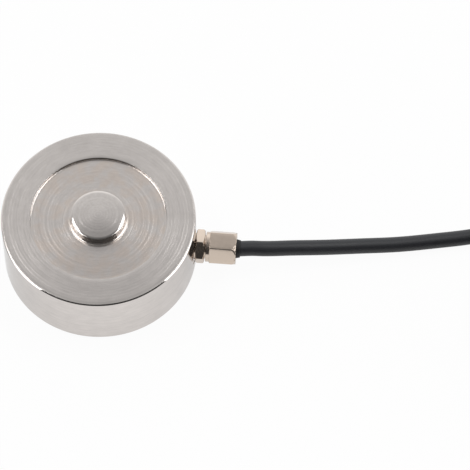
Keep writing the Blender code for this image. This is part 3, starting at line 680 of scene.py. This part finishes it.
def body_section(sizes):
    """Half section of the body, from the crown of the button to the foot of the boss."""
    radius, height = sizes.radius, sizes.height
    recess = radius - sizes.rim_width
    floor = height - sizes.recess_depth
    ceiling = floor - sizes.diaphragm
    button, edge = sizes.button_radius, height + sizes.button_standout
    flat = button - BUTTON_EDGE
    rise = sizes.button_crown - BUTTON_EDGE
    dome = (button**2 + rise**2) / (2 * rise)
    reach = np.linspace(0, flat, 14)
    crown = edge + sizes.button_crown - dome + np.sqrt(dome**2 - reach**2)
    corners = np.column_stack([reach, crown, np.zeros_like(reach)]).tolist()
    corners += [(button, crown[-1] - BUTTON_EDGE / 2, BUTTON_EDGE / 2)]
    root = (button + sizes.root_fillet, floor + BLEND_SLOPE * BLEND_WIDTH / 2 + sizes.root_fillet)
    corners += arc(root, sizes.root_fillet, 180, 270, 5)
    blend = np.linspace(0, BLEND_WIDTH, 10)
    drop = BLEND_SLOPE * (blend - blend**2 / (2 * BLEND_WIDTH))
    foot = floor + BLEND_SLOPE * BLEND_WIDTH / 2 - drop
    corners += np.column_stack([root[0] + blend, foot, 0 * blend]).tolist()[1:]
    land_start, land = corners[-1][:2]
    rim_end = radius - sizes.top_break
    corners += [(reach, land, 0) for reach in between(land_start, recess, 8)]
    corners += [(recess, land, RECESS_FILLET), (recess, height, RECESS_EDGE)]
    corners += [(reach, height, 0) for reach in between(recess, rim_end, 8)]
    corners += [(rim_end, height, CRISP_EDGE), (radius, height - sizes.top_break, CRISP_EDGE)]
    corners += [(radius, level, 0) for level in between(height, 0, 10)]
    corners += [
        (radius, sizes.foot_break, FINE_EDGE),
        (radius - sizes.foot_break, 0, FINE_EDGE),
        (COVER_SEAT_RADIUS, 0, COVER_EDGE),
        (COVER_SEAT_RADIUS, COVER_TOP, 0),
        (BOARD_SEAT_RADIUS, COVER_TOP, FINE_EDGE),
        (BOARD_SEAT_RADIUS, BOARD_TOP, 0),
        (CAVITY_RADIUS, BOARD_TOP, FINE_EDGE),
    ]
    for centre, start in ((CAVITY_RADIUS - CAVITY_FILLET, 0), (BOSS_RADIUS + CAVITY_FILLET, 90)):
        corners += arc((centre, ceiling - CAVITY_FILLET), CAVITY_FILLET, start, start + 90, 6)
    corners += [(BOSS_RADIUS, COVER_TOP + OVERLOAD_GAP, BOSS_EDGE)]
    corners += [(0, COVER_TOP + OVERLOAD_GAP, 0)]
    return profile(corners)


def cut_away(piece, cutters):
    """Cuts the cutters out of a piece, keeps the result as its mesh and deletes them."""
    for cutter in cutters:
        modifier = piece.modifiers.new(cutter.name, "BOOLEAN")
        modifier.object = cutter
        modifier.operation = "DIFFERENCE"
    graph = bpy.context.evaluated_depsgraph_get()
    whole, made = piece.data, bpy.data.meshes.new_from_object(piece.evaluated_get(graph))
    piece.modifiers.clear()
    piece.data = made
    made.name = piece.name
    bpy.data.meshes.remove(whole)
    for cutter in cutters:
        bpy.data.objects.remove(cutter, do_unlink=True)
    made.shade_smooth()
    made.set_sharp_from_angle(angle=math.radians(CUT_SMOOTH_ANGLE))


def gland_seat():
    """What the spot face and the tapped bore for the gland remove."""
    out = SPOT_DEPTH + CUTTER_MARGIN
    deep = SEAT_X - CAVITY_RADIUS + CUTTER_MARGIN
    section = profile([
        (0, out, 0), (SPOT_RADIUS, out, 0), (SPOT_RADIUS, 0, 0), (THREAD_RADIUS, 0, 0),
        (THREAD_RADIUS, -deep, 0), (0, -deep, 0),
    ])
    return surface("gland_seat", on_gland_axis(revolve(section, 96)), None)


def tapped_hole(index):
    """What a drilled and tapped hole removes: its wall follows the thread.

    Round the hole by an angle a and up it by a height z, the wall stands at the hole's radius
    plus the thread's depth times a triangle wave of z / pitch - a / full turn.
    """
    around = 36
    turn = np.linspace(0, math.tau, around, endpoint=False)[None]
    height = np.arange(0, HOLE_DEPTH, HOLE_PITCH / 6)[1:, None]
    wave = np.abs(((height / HOLE_PITCH - turn / math.tau) % 1) * 2 - 1)
    run_out = np.clip(height / HOLE_PITCH, 0, 1)
    run_out = run_out * np.clip((HOLE_DEPTH - height) / HOLE_PITCH, 0, 1)
    reach = HOLE_RADIUS - THREAD_DEPTH * wave * run_out
    wall = np.stack([reach * np.cos(turn), reach * np.sin(turn), height + 0 * turn], -1)
    mouth = [(0, -CUTTER_MARGIN), (HOLE_RADIUS + HOLE_MOUTH, -CUTTER_MARGIN)]
    mouth = revolve(np.array(mouth), around)
    tip = revolve(np.array([(0, HOLE_DEPTH + HOLE_RADIUS * DRILL_TIP)]), around)
    rows = np.concatenate([mouth, wall, tip])
    place = math.tau * (index + 0.5) / HOLE_COUNT
    rows = rows + HOLE_CIRCLE * np.array([math.cos(place), math.sin(place), 0])
    return surface(f"tapped_hole_{index + 1}", rows, None)


def make_body(sizes):
    steel = turned_steel("turned_stainless_steel", sizes.steel)
    rows = revolve(body_section(sizes), BODY_SEGMENTS)
    body = surface("turned_body", rows, steel)
    cut_away(body, [gland_seat()] + [tapped_hole(i) for i in range(HOLE_COUNT)])
    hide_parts("sensor_body")


def make_cover(sizes):
    steel = turned_steel("ground_stainless_cover", shaded(sizes.steel, 0.94))
    section = profile([
        (0, COVER_TOP, 0), (COVER_RADIUS, COVER_TOP, FINE_EDGE),
        (COVER_RADIUS, COVER_INSET, COVER_EDGE), (0, COVER_INSET, 0),
    ])
    cover = surface("pressed_in_cover", revolve(section, BODY_SEGMENTS), steel)
    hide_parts("base_cover")


# The gland

def hexagonal(name, outline, corners, edges, plate):
    """A ring on the gland's axis. A corner of (radius, height) is a circle, and one that also
    has a slope lies on the hexagon, where a chamfer of that slope meets it."""
    rows = [
        circle_row(outline, *corner) if len(corner) == 2 else hexagon_row(outline, *corner)
        for corner in corners
    ]
    return surface(name, on_gland_axis(soften(np.array(rows), edges)), plate, ring=True)


def make_fitting(sizes, plate):
    outline = rounded_hexagon(sizes.collar_flats, sizes.corner, sizes.collar_turn)
    shank = THREAD_RADIUS - THREAD_CLEARANCE
    tip = COLLAR_LENGTH + SPIGOT_LENGTH
    face = sizes.collar_flats / 2
    corners = [
        (GLAND_BORE, -SHANK_LENGTH), (shank, -SHANK_LENGTH), (shank, 0),
        (WASHER_RADIUS, 0), (WASHER_RADIUS, WASHER_FACE), (face, WASHER_FACE),
        (face, WASHER_FACE, COLLAR_CHAMFER), (face, COLLAR_LENGTH, -COLLAR_CHAMFER),
        (face, COLLAR_LENGTH), (THREAD_RADIUS, COLLAR_LENGTH), (THREAD_RADIUS, tip),
        (GLAND_BORE, tip),
    ]
    piece = hexagonal("gland_fitting", outline, corners, FITTING_EDGES, plate)
    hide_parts("gland_body")


def make_nut(sizes, plate):
    outline = rounded_hexagon(sizes.nut_flats, sizes.corner, sizes.nut_turn)
    bore = THREAD_RADIUS + THREAD_CLEARANCE
    face = sizes.nut_flats / 2
    shoulder = face - SHOULDER_INSET
    hexagon = NUT_START + NUT_SHOULDER
    cone = NUT_END - MOUTH_LENGTH
    corners = [
        (bore, NUT_START), (shoulder, NUT_START), (shoulder, hexagon), (face, hexagon),
        (face, hexagon, NUT_BACK_CHAMFER), (face, NUT_END, -NUT_FRONT_CHAMFER), (face, NUT_END),
        (MOUTH_RADIUS, NUT_END), (MOUTH_RADIUS, cone), (bore, cone - CONE_LENGTH),
    ]
    piece = hexagonal("clamping_nut", outline, corners, NUT_EDGES, plate)
    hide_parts("gland_nut")


def make_seal(sizes):
    rubber = polymer("moulded_rubber", sizes.rubber)
    back = COLLAR_LENGTH + SPIGOT_LENGTH + SEAL_CLEARANCE
    cone = NUT_END - MOUTH_LENGTH - SEAL_CLEARANCE
    tip = NUT_END + SEAL_STANDOUT
    wide, neck = THREAD_RADIUS, MOUTH_RADIUS - SEAL_CLEARANCE
    section = profile([
        (GLAND_BORE, back, 0.00005), (wide, back, 0.0002), (wide, cone - CONE_LENGTH, 0.0002),
        (neck, cone, 0.0001), (neck, NUT_END + SEAL_CLEARANCE, 0.0001),
        (GLAND_BORE + SEAL_LIP, tip, 0.0001), (GLAND_BORE, tip, 0.00005),
    ])
    piece = surface("rubber_seal", on_gland_axis(revolve(section, 72)), rubber, ring=True)
    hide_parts("gland_seal")


# The cable, from the gland through its coil to the free end

def on_coil(turn, radius, height):
    """Points at angles and radii round the coil's axis: centre + r (cos a, sin a)."""
    turn, radius, height = np.broadcast_arrays(turn, radius, height)
    return np.stack([
        COIL_CENTRE[0] + radius * np.cos(turn), COIL_CENTRE[1] + radius * np.sin(turn), height,
    ], axis=-1)


def eased(share):
    """Goes from 0 to 1 with level ends: 3 s^2 - 2 s^3."""
    share = np.clip(share, 0, 1)
    return share * share * (3 - 2 * share)


def coil_turns(radius):
    """(radius, height) of each turn in the order it is wound: odd layers lie in the grooves
    of those below and run back outwards."""
    pitch = 2 * radius
    outer = COIL_MID_RADIUS + pitch * (COIL_COLUMNS - 1) / 2
    lift = TIE_THICKNESS + TIE_CLEARANCE + radius
    turns = []
    for layer in range(COIL_LAYERS):
        nested = layer % 2
        columns = [outer - pitch * (i + nested / 2) for i in range(COIL_COLUMNS - nested)]
        height = lift + layer * COIL_LAYER_PITCH
        turns += [(column, height) for column in (columns[::-1] if nested else columns)]
    return turns


def coil_path(radius):
    """The wound length, clockwise from above: the angle falls steadily by a full turn for each
    turn, the height eases to the next layer and then the radius to the next turn."""
    turns = np.array(coil_turns(radius))
    last = len(turns) - 1 + LAST_TURN
    along = np.arange(0, last * COIL_POINTS) / COIL_POINTS
    turn_index = along.astype(int)
    share = along - turn_index
    now = turns[turn_index]
    following = turns[np.minimum(turn_index + 1, len(turns) - 1)]
    step_out = eased((share - 1 + STEP_SHARE) / STEP_SHARE)
    climb = eased((share - 1 + 2 * STEP_SHARE) / STEP_SHARE)
    height = now[:, 1] + (following[:, 1] - now[:, 1]) * climb
    upper = now[:, 1] > turns[0, 1]
    height = height + upper * CROSSING_HUMP * np.sin(math.pi * step_out) ** 2
    reach = now[:, 0] + (following[:, 0] - now[:, 0]) * step_out
    return on_coil(COIL_ARRIVAL - math.tau * along, reach, height)


def leaving_path(radius):
    """From the top layer over the outer turn and down beside it, on an arc round that turn."""
    turns = coil_turns(radius)
    outer, level = turns[0][0], turns[-1][1] - COIL_LAYER_PITCH
    inner = turns[-1][0]
    begin = math.atan2(COIL_LAYER_PITCH, inner - outer)
    near = math.hypot(COIL_LAYER_PITCH, inner - outer)
    far = 2 * radius + COIL_GAP
    share = np.linspace(0, 1, 14)
    over = begin * (1 - eased(share))
    away = near + (far - near) * share
    start = COIL_ARRIVAL - math.tau * LAST_TURN
    turn = start + (TAIL_START - start) * share
    return on_coil(turn, outer + away * np.cos(over), level + away * np.sin(over))


def tail_point(share, radius):
    """A point of the free end as it leaves the coil and comes down beside it."""
    turns = coil_turns(radius)
    start = turns[0][0] + 2 * radius + COIL_GAP
    top = turns[-1][1] - COIL_LAYER_PITCH
    reach = start + (TAIL_RADIUS - start) * share
    turn = TAIL_START + (TAIL_END - TAIL_START) * share
    return on_coil(turn, reach, top + (SLEEVE_RADIUS - top) * eased(share))


def sleeve_frame(radius):
    """Middle, heading and left-hand direction of the straight sleeve at the free end."""
    heading = np.array([math.sin(TAIL_END), -math.cos(TAIL_END), 0])
    centre = tail_point(1, radius) + heading * (STRAIGHT_EXIT + SLEEVE_LENGTH / 2)
    return centre, heading, np.array([-heading[1], heading[0], 0])


def cable_path(radius):
    """The whole cable's centre line: gland, free run, coil, way down and sleeve."""
    turns = coil_turns(radius)
    outer, level = turns[0]
    heading = np.array([math.sin(COIL_ARRIVAL), -math.cos(COIL_ARRIVAL), 0])
    clear = outer + 2 * radius + COIL_GAP
    before = math.sqrt(clear**2 - outer**2)
    arrival = on_coil(COIL_ARRIVAL, outer, level) - heading * before
    run = smooth_route(
        [
            (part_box("cable")[0].x, 0, GLAND_HEIGHT),
            (EXIT_X, EXIT_SWAY / 5, GLAND_HEIGHT),
            (EXIT_X + STRAIGHT_EXIT, EXIT_SWAY, GLAND_HEIGHT),
            *CABLE_ROUTE,
            arrival,
        ],
        ROUTE_SPACING,
    )
    centre, heading, _ = sleeve_frame(radius)
    tail = tail_point(np.linspace(0, 1, 18), radius)
    end = centre - heading * np.linspace(SLEEVE_LENGTH / 2, 0, 4)[:, None]
    return np.concatenate([
        run, coil_path(radius), leaving_path(radius)[:-1], tail, end,
    ])


def make_cable(sizes):
    jacket = polymer("extruded_cable_jacket", sizes.jacket)
    path = cable_path(sizes.radius)
    piece = surface("signal_cable", tube(path, sizes.radius, 28, 0.0001), jacket)
    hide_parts("cable", "cable_coil", "cable_tail")
    return piece, path


def tie_outline(radius, away):
    """Loop at a distance round the coil's section, as (radius, height): an arc about each
    corner turn, from the direction of the side before it to that of the side after it."""
    turns = np.array(coil_turns(radius))
    low, high = turns[0, 1], turns[-1, 1]
    below = high - COIL_LAYER_PITCH
    wide = (turns[0, 0] - COIL_MID_RADIUS) * np.array([1, 1, 0])
    wide[2] = wide[0] - radius
    right = np.column_stack([wide, [low, below, high]])
    corners = np.concatenate([right, right[::-1] * (-1, 1)])
    sides = np.roll(corners, -1, axis=0) - corners
    after = np.arctan2(sides[:, 1], sides[:, 0]) - math.pi / 2
    before = np.roll(after, 1)
    sweep = (after - before) % math.tau
    turn = before[:, None] + sweep[:, None] * np.linspace(0, 1, 7)[None]
    arcs = corners[:, None] + away * np.stack([np.cos(turn), np.sin(turn)], -1)
    return arcs.reshape(-1, 2) + (COIL_MID_RADIUS, 0)


def make_tie(index, degrees, radius, nylon):
    """Band round the coil, a head and the cut stub of the strap."""
    hug = radius + TIE_CLEARANCE
    inner, outer = tie_outline(radius, hug), tie_outline(radius, hug + TIE_THICKNESS)
    half = TIE_WIDTH / 2
    rows = np.array([
        np.column_stack([loop[:, 0], np.full(len(loop), side), loop[:, 1]])
        for loop, side in ((inner, -half), (outer, -half), (outer, half), (inner, half))
    ])
    band = surface(f"tie_band_{index}", soften(rows, [0.0002] * 4, 3), nylon, ring=True)
    middle = coil_turns(radius)[0][1] + COIL_LAYER_PITCH
    reach = outer[:, 0].max() - TIE_THICKNESS / 2 + TIE_HEAD[0] / 2
    head = rounded_block(f"tie_head_{index}", TIE_HEAD, (reach, 0, middle), nylon)
    stub_size = (TIE_THICKNESS, TIE_WIDTH, TIE_HEAD[2] + 2 * TIE_STUB_LENGTH)
    stub = rounded_block(
        f"tie_stub_{index}", stub_size, (reach + TIE_THICKNESS, 0, middle), nylon,
    )
    place = Matrix.Translation((*COIL_CENTRE, 0)) @ Matrix.Rotation(math.radians(degrees), 4, "Z")
    for piece in (band, head, stub):
        piece.data.transform(place)
    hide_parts(f"cable_tie_{index}")
    return [band, head, stub]


def rounded_block(name, size, centre, material, edge=0.0003):
    """A block with rounded edges: rows of a rounded rectangle, closed by its two end faces."""
    x, y, z = (np.array(size) / 2).tolist()
    corners = np.array([(x, -y), (x, y), (-x, y), (-x, -y)])
    outline = soften(corners[:, None], [edge] * 4)[:, 0]
    rows = np.array([
        np.column_stack([outline * scale, np.full(len(outline), height)])
        for scale, height in ((0, -z), (1, -z), (1, z), (0, z))
    ])
    return surface(name, soften(rows, [0, edge, edge, 0]) + np.array(centre), material)


def lead_route(offset, rise, reach, radius, spread, cable_radius):
    """One core beyond the sleeve: it fans out and comes down to the surface."""
    centre, heading, left = sleeve_frame(cable_radius)
    begin = centre + heading * (SLEEVE_LENGTH / 2 + SOLDER_GAP)
    step = np.array([0, 0.15, 0.4, 0.7, 1])[:, None]
    share = reach * step / (LEAD_LENGTH + LEAD_TIP_LENGTH)
    sideways = offset + spread * share**1.5 - LEAD_CURL * share**2
    drop = (rise + SLEEVE_RADIUS - radius) * (1 - (1 - step) ** 3)
    points = begin + heading * reach * step + left * sideways + (rise - drop) * np.array([0, 0, 1])
    return smooth_route(points, reach / 40)


def make_leads(cable_radius, insulation, tinned):
    """The four cores beyond the sleeve with their tinned tips, and the drain wire."""
    made = []
    full = LEAD_LENGTH + LEAD_TIP_LENGTH
    for slot, name in zip((-1.5, -0.5, 0.5, 1.5), CORE_COLOURS):
        rise = (CORE_RADIUS + CORE_GAP / 2) * (1 if abs(slot) < 1 else -1)
        offset = slot * (2 * CORE_RADIUS + CORE_GAP / 2)
        route = lead_route(
            offset, rise, full, CORE_RADIUS, LEAD_SPREAD * slot, cable_radius,
        )
        reach = np.linalg.norm(route - route[0], axis=1)
        split = int(np.searchsorted(reach, LEAD_LENGTH))
        lead = surface(
            f"core_{name}", tube(route[:split], CORE_RADIUS, 16, 0.00005), insulation[name],
        )
        tip = surface(
            f"core_tip_{name}", tube(route[split - 2 :], LEAD_TIP_RADIUS, 12, 0.0001), tinned,
        )
        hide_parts(f"lead_{name}")
        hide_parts(f"lead_tip_{name}")
        made += [lead, tip]
    drain = lead_route(0, -DRAIN_DROP, LEAD_LENGTH, DRAIN_RADIUS, 0, cable_radius)
    wire = surface("drain_wire", tube(drain, DRAIN_RADIUS, 12, 0.0001), tinned)
    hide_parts("shield_drain")
    return made + [wire]


def make_sleeve(sizes):
    """Shrink sleeve over the end of the jacket, necked down onto the cores."""
    centre, heading, left = sleeve_frame(sizes.radius)
    half = SLEEVE_LENGTH / 2
    section = profile([
        (0, COIL_GAP, 0), (sizes.radius + 0.0001, COIL_GAP, 0.0001),
        (sizes.radius + 0.0001, -half, 0.0001), (SLEEVE_RADIUS, -half, 0.0002),
        (SLEEVE_RADIUS, half / 3, 0.0015), (sizes.radius, half, 0.0003), (0, half, 0),
    ])
    rows = revolve(section, 48)
    rows = centre + rows[..., :1] * left + rows[..., 1:2] * (0, 0, 1) + rows[..., 2:] * heading
    shrink = polymer("shrink_sleeve", sizes.sleeve)
    piece = surface("shrunk_sleeve", rows, shrink)
    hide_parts("end_sleeve")
    return piece


# The inner pieces, which stay as packed behind the cover

def dress_inside(insulation):
    """Finishes for the board, chips, gauges, their wires and the inner ends of the cores."""
    for start, (finish, hex_colour) in INSIDE.items():
        dress(start, polymer(finish, linear(hex_colour)))
    for name, material in insulation.items():
        dress(f"cable_core_{name}", material)


# Studio

def make_floor(settings):
    """A wide pale disc. The camera sees it white, apart from the share that keeps the shadow
    of the object. Glossy rays keep more of that shadow, which the metal mirrors at its foot."""
    rim = np.linspace(0, math.tau, 64, endpoint=False)
    points = np.column_stack([FLOOR_RADIUS * np.cos(rim), FLOOR_RADIUS * np.sin(rim), 0 * rim])
    mesh = bpy.data.meshes.new("studio_floor")
    mesh.from_pydata(points.tolist(), [], [list(range(len(rim)))])
    floor = add_object("studio_floor", mesh)
    material, tree, shader = new_material("white_paper")
    fill(tree, shader, {
        "Base Color": (*settings.floor, 1), "Roughness": 0.9, "Specular IOR Level": 0,
    })
    white = add(tree, "Emission", {"Color": (1, 1, 1, 1), "Strength": 1.0}).outputs[0]
    path = add(tree, "LightPath").outputs
    mirrored = maths(tree, "MAXIMUM", path["Is Glossy Ray"], path["Is Transmission Ray"])
    mirrored = maths(tree, "MULTIPLY", mirrored, FLOOR_MIRRORED)
    share = maths(tree, "MULTIPLY_ADD", path["Is Camera Ray"], FLOOR_WHITE, mirrored)
    blend = add(tree, "MixShader", {0: share, 1: shader.outputs[0], 2: white}).outputs[0]
    tree.links.new(blend, tree.nodes["Material Output"].inputs["Surface"])
    mesh.materials.append(material)


def seen_from(settings):
    """Turn of the camera round the body, as seen from the body, which lies left of the aim."""
    away = settings.distance * math.cos(settings.elevation)
    return settings.azimuth + math.atan(settings.aim_right / away)


def make_sky(turn):
    """The room as the metal sees it: bright behind the object, grey overhead and dark on the
    camera's side. The camera itself sees it white."""
    world = bpy.data.worlds.new("studio_room")
    bpy.context.scene.world = world
    world.use_nodes = True
    tree = world.node_tree
    direction = add(tree, "TexCoord").outputs["Generated"]
    facing = add(
        tree, "VectorRotate", {"Vector": direction, "Angle": -turn}, rotation_type="Z_AXIS",
    ).outputs[0]
    depth = add(tree, "SeparateXYZ", {0: facing}).outputs["Y"]
    place = mapped(tree, depth, (-1, 1))
    background = tree.nodes["Background"]
    background.inputs["Strength"].default_value = SKY_LEVEL
    tree.links.new(ramped(tree, place, SKY_STOPS), background.inputs["Color"])
    white = add(tree, "Background", {"Color": (1, 1, 1, 1)}).outputs[0]
    camera = add(tree, "LightPath").outputs["Is Camera Ray"]
    blend = add(tree, "MixShader", {0: camera, 1: background.outputs[0], 2: white}).outputs[0]
    tree.links.new(blend, tree.nodes["World Output"].inputs["Surface"])


def direction(around, high):
    """Unit vector at an angle round from minus Y towards X, and one above the horizon."""
    flat = math.cos(high)
    return Vector((flat * math.sin(around), -flat * math.cos(around), math.sin(high)))


def make_softbox(name, place, size, level):
    """A rectangular softbox that looks at the body. Its level is the brightness of its face, and
    the power that gives it is level * pi * area."""
    light = bpy.data.lights.new(name, "AREA")
    light.shape = "RECTANGLE"
    light.size, light.size_y = size
    light.energy = level * math.pi * size[0] * size[1]
    lamp = add_object(name, light)
    lamp.location = place
    lamp.rotation_euler = place.to_track_quat("Z", "Y").to_euler()
    lamp.visible_camera = False


def make_camera(settings, rim_height):
    """Looks along one direction at a point beside the rim's centre, level and unshifted."""
    around = settings.azimuth
    right = Vector((math.cos(around), math.sin(around), 0))
    back = direction(around, settings.elevation)
    up = back.cross(right)
    aim = Vector((0, 0, rim_height)) + right * settings.aim_right + up * settings.aim_up
    data = bpy.data.cameras.new("photo_camera")
    data.sensor_width = 36
    data.lens = settings.lens
    data.clip_start = 0.05
    camera = add_object("photo_camera", data)
    camera.location = aim + back * settings.distance
    camera.rotation_euler = back.to_track_quat("Z", "Y").to_euler()
    bpy.context.scene.camera = camera


# Operators

class LOADCELL_OT_stage(bpy.types.Operator):
    """Makes the floor, the room's light and the camera"""

    bl_idname = "loadcell.stage"
    bl_label = "Studio"

    def execute(self, context):
        settings = context.scene.load_cell
        make_camera(settings.studio, settings.body.height)
        make_floor(settings.studio)
        make_sky(seen_from(settings.studio))
        for name, (around, high, width, height, level) in SOFTBOXES.items():
            for side, hand in ((-1, "left"), (1, "right")):
                turn = seen_from(settings.studio) + side * math.radians(around)
                place = SOFTBOX_AWAY * direction(turn, math.radians(high))
                make_softbox(f"{name}_{hand}", place, (width, height), level)
        context.scene.view_settings.view_transform = "Standard"
        return {"FINISHED"}


class LOADCELL_OT_cable(bpy.types.Operator):
    """Makes the cable with its coil, ties, sleeve and free cores"""

    bl_idname = "loadcell.cable"
    bl_label = "Cable"

    def execute(self, context):
        sizes = context.scene.load_cell.cable
        cable, path = make_cable(sizes)
        nylon = polymer("moulded_nylon", sizes.tie)
        tinned = polymer("tinned_copper", linear("C4C4C6"))
        insulation = {
            name: polymer(f"{name}_core_insulation", linear(value), "core_insulation")
            for name, value in CORE_COLOURS.items()
        }
        ties = []
        for index, degrees in enumerate(TIE_ANGLES, 1):
            ties += make_tie(index, degrees, sizes.radius, nylon)
        sleeve = make_sleeve(sizes)
        cores = make_leads(sizes.radius, insulation, tinned)
        dress_inside(insulation)
        gland = ("gland_fitting", "clamping_nut", "rubber_seal")
        gland = [bpy.data.objects[name] for name in gland]
        return {"FINISHED"}


class LOADCELL_OT_gland(bpy.types.Operator):
    """Makes the gland: fitting, clamping nut and seal"""

    bl_idname = "loadcell.gland"
    bl_label = "Gland"

    def execute(self, context):
        sizes = context.scene.load_cell.gland
        plate = nickel_plate(sizes.plate)
        make_fitting(sizes, plate)
        make_nut(sizes, plate)
        make_seal(sizes)
        return {"FINISHED"}


class LOADCELL_OT_body(bpy.types.Operator):
    """Makes the turned sensing body and the cover of its cavity"""

    bl_idname = "loadcell.body"
    bl_label = "Sensing body"

    def execute(self, context):
        sizes = context.scene.load_cell.body
        make_body(sizes)
        make_cover(sizes)
        return {"FINISHED"}


class LOADCELL_PT_pieces(bpy.types.Panel):
    """Lists the pieces in the order they are made, with their sizes and colours"""

    bl_idname = "LOADCELL_PT_pieces"
    bl_label = "Button load cell"
    bl_space_type = "VIEW_3D"
    bl_region_type = "UI"
    bl_category = "Load Cell"

    def draw(self, context):
        settings = context.scene.load_cell
        groups = (
            ("loadcell.stage", settings.studio),
            ("loadcell.gland", settings.gland),
            ("loadcell.cable", settings.cable),
            ("loadcell.body", settings.body),
        )
        for operator, group in groups:
            box = self.layout.box()
            box.operator(operator)
            for name in group.__annotations__:
                box.prop(group, name)


CLASSES = (
    BodySettings,
    GlandSettings,
    CableSettings,
    StudioSettings,
    LoadCellSettings,
    LOADCELL_OT_stage,
    LOADCELL_OT_gland,
    LOADCELL_OT_cable,
    LOADCELL_OT_body,
    LOADCELL_PT_pieces,
)


def register():
    for kind in CLASSES:
        bpy.utils.register_class(kind)
    bpy.types.Scene.load_cell = bpy.props.PointerProperty(type=LoadCellSettings)


def unregister():
    del bpy.types.Scene.load_cell
    for kind in reversed(CLASSES):
        bpy.utils.unregister_class(kind)


def main():
    register()
    bpy.ops.loadcell.stage()
    bpy.ops.loadcell.gland()
    bpy.ops.loadcell.cable()
    bpy.ops.loadcell.body()
    bpy.context.view_layer.update()


if __name__ == "__main__":
    main()
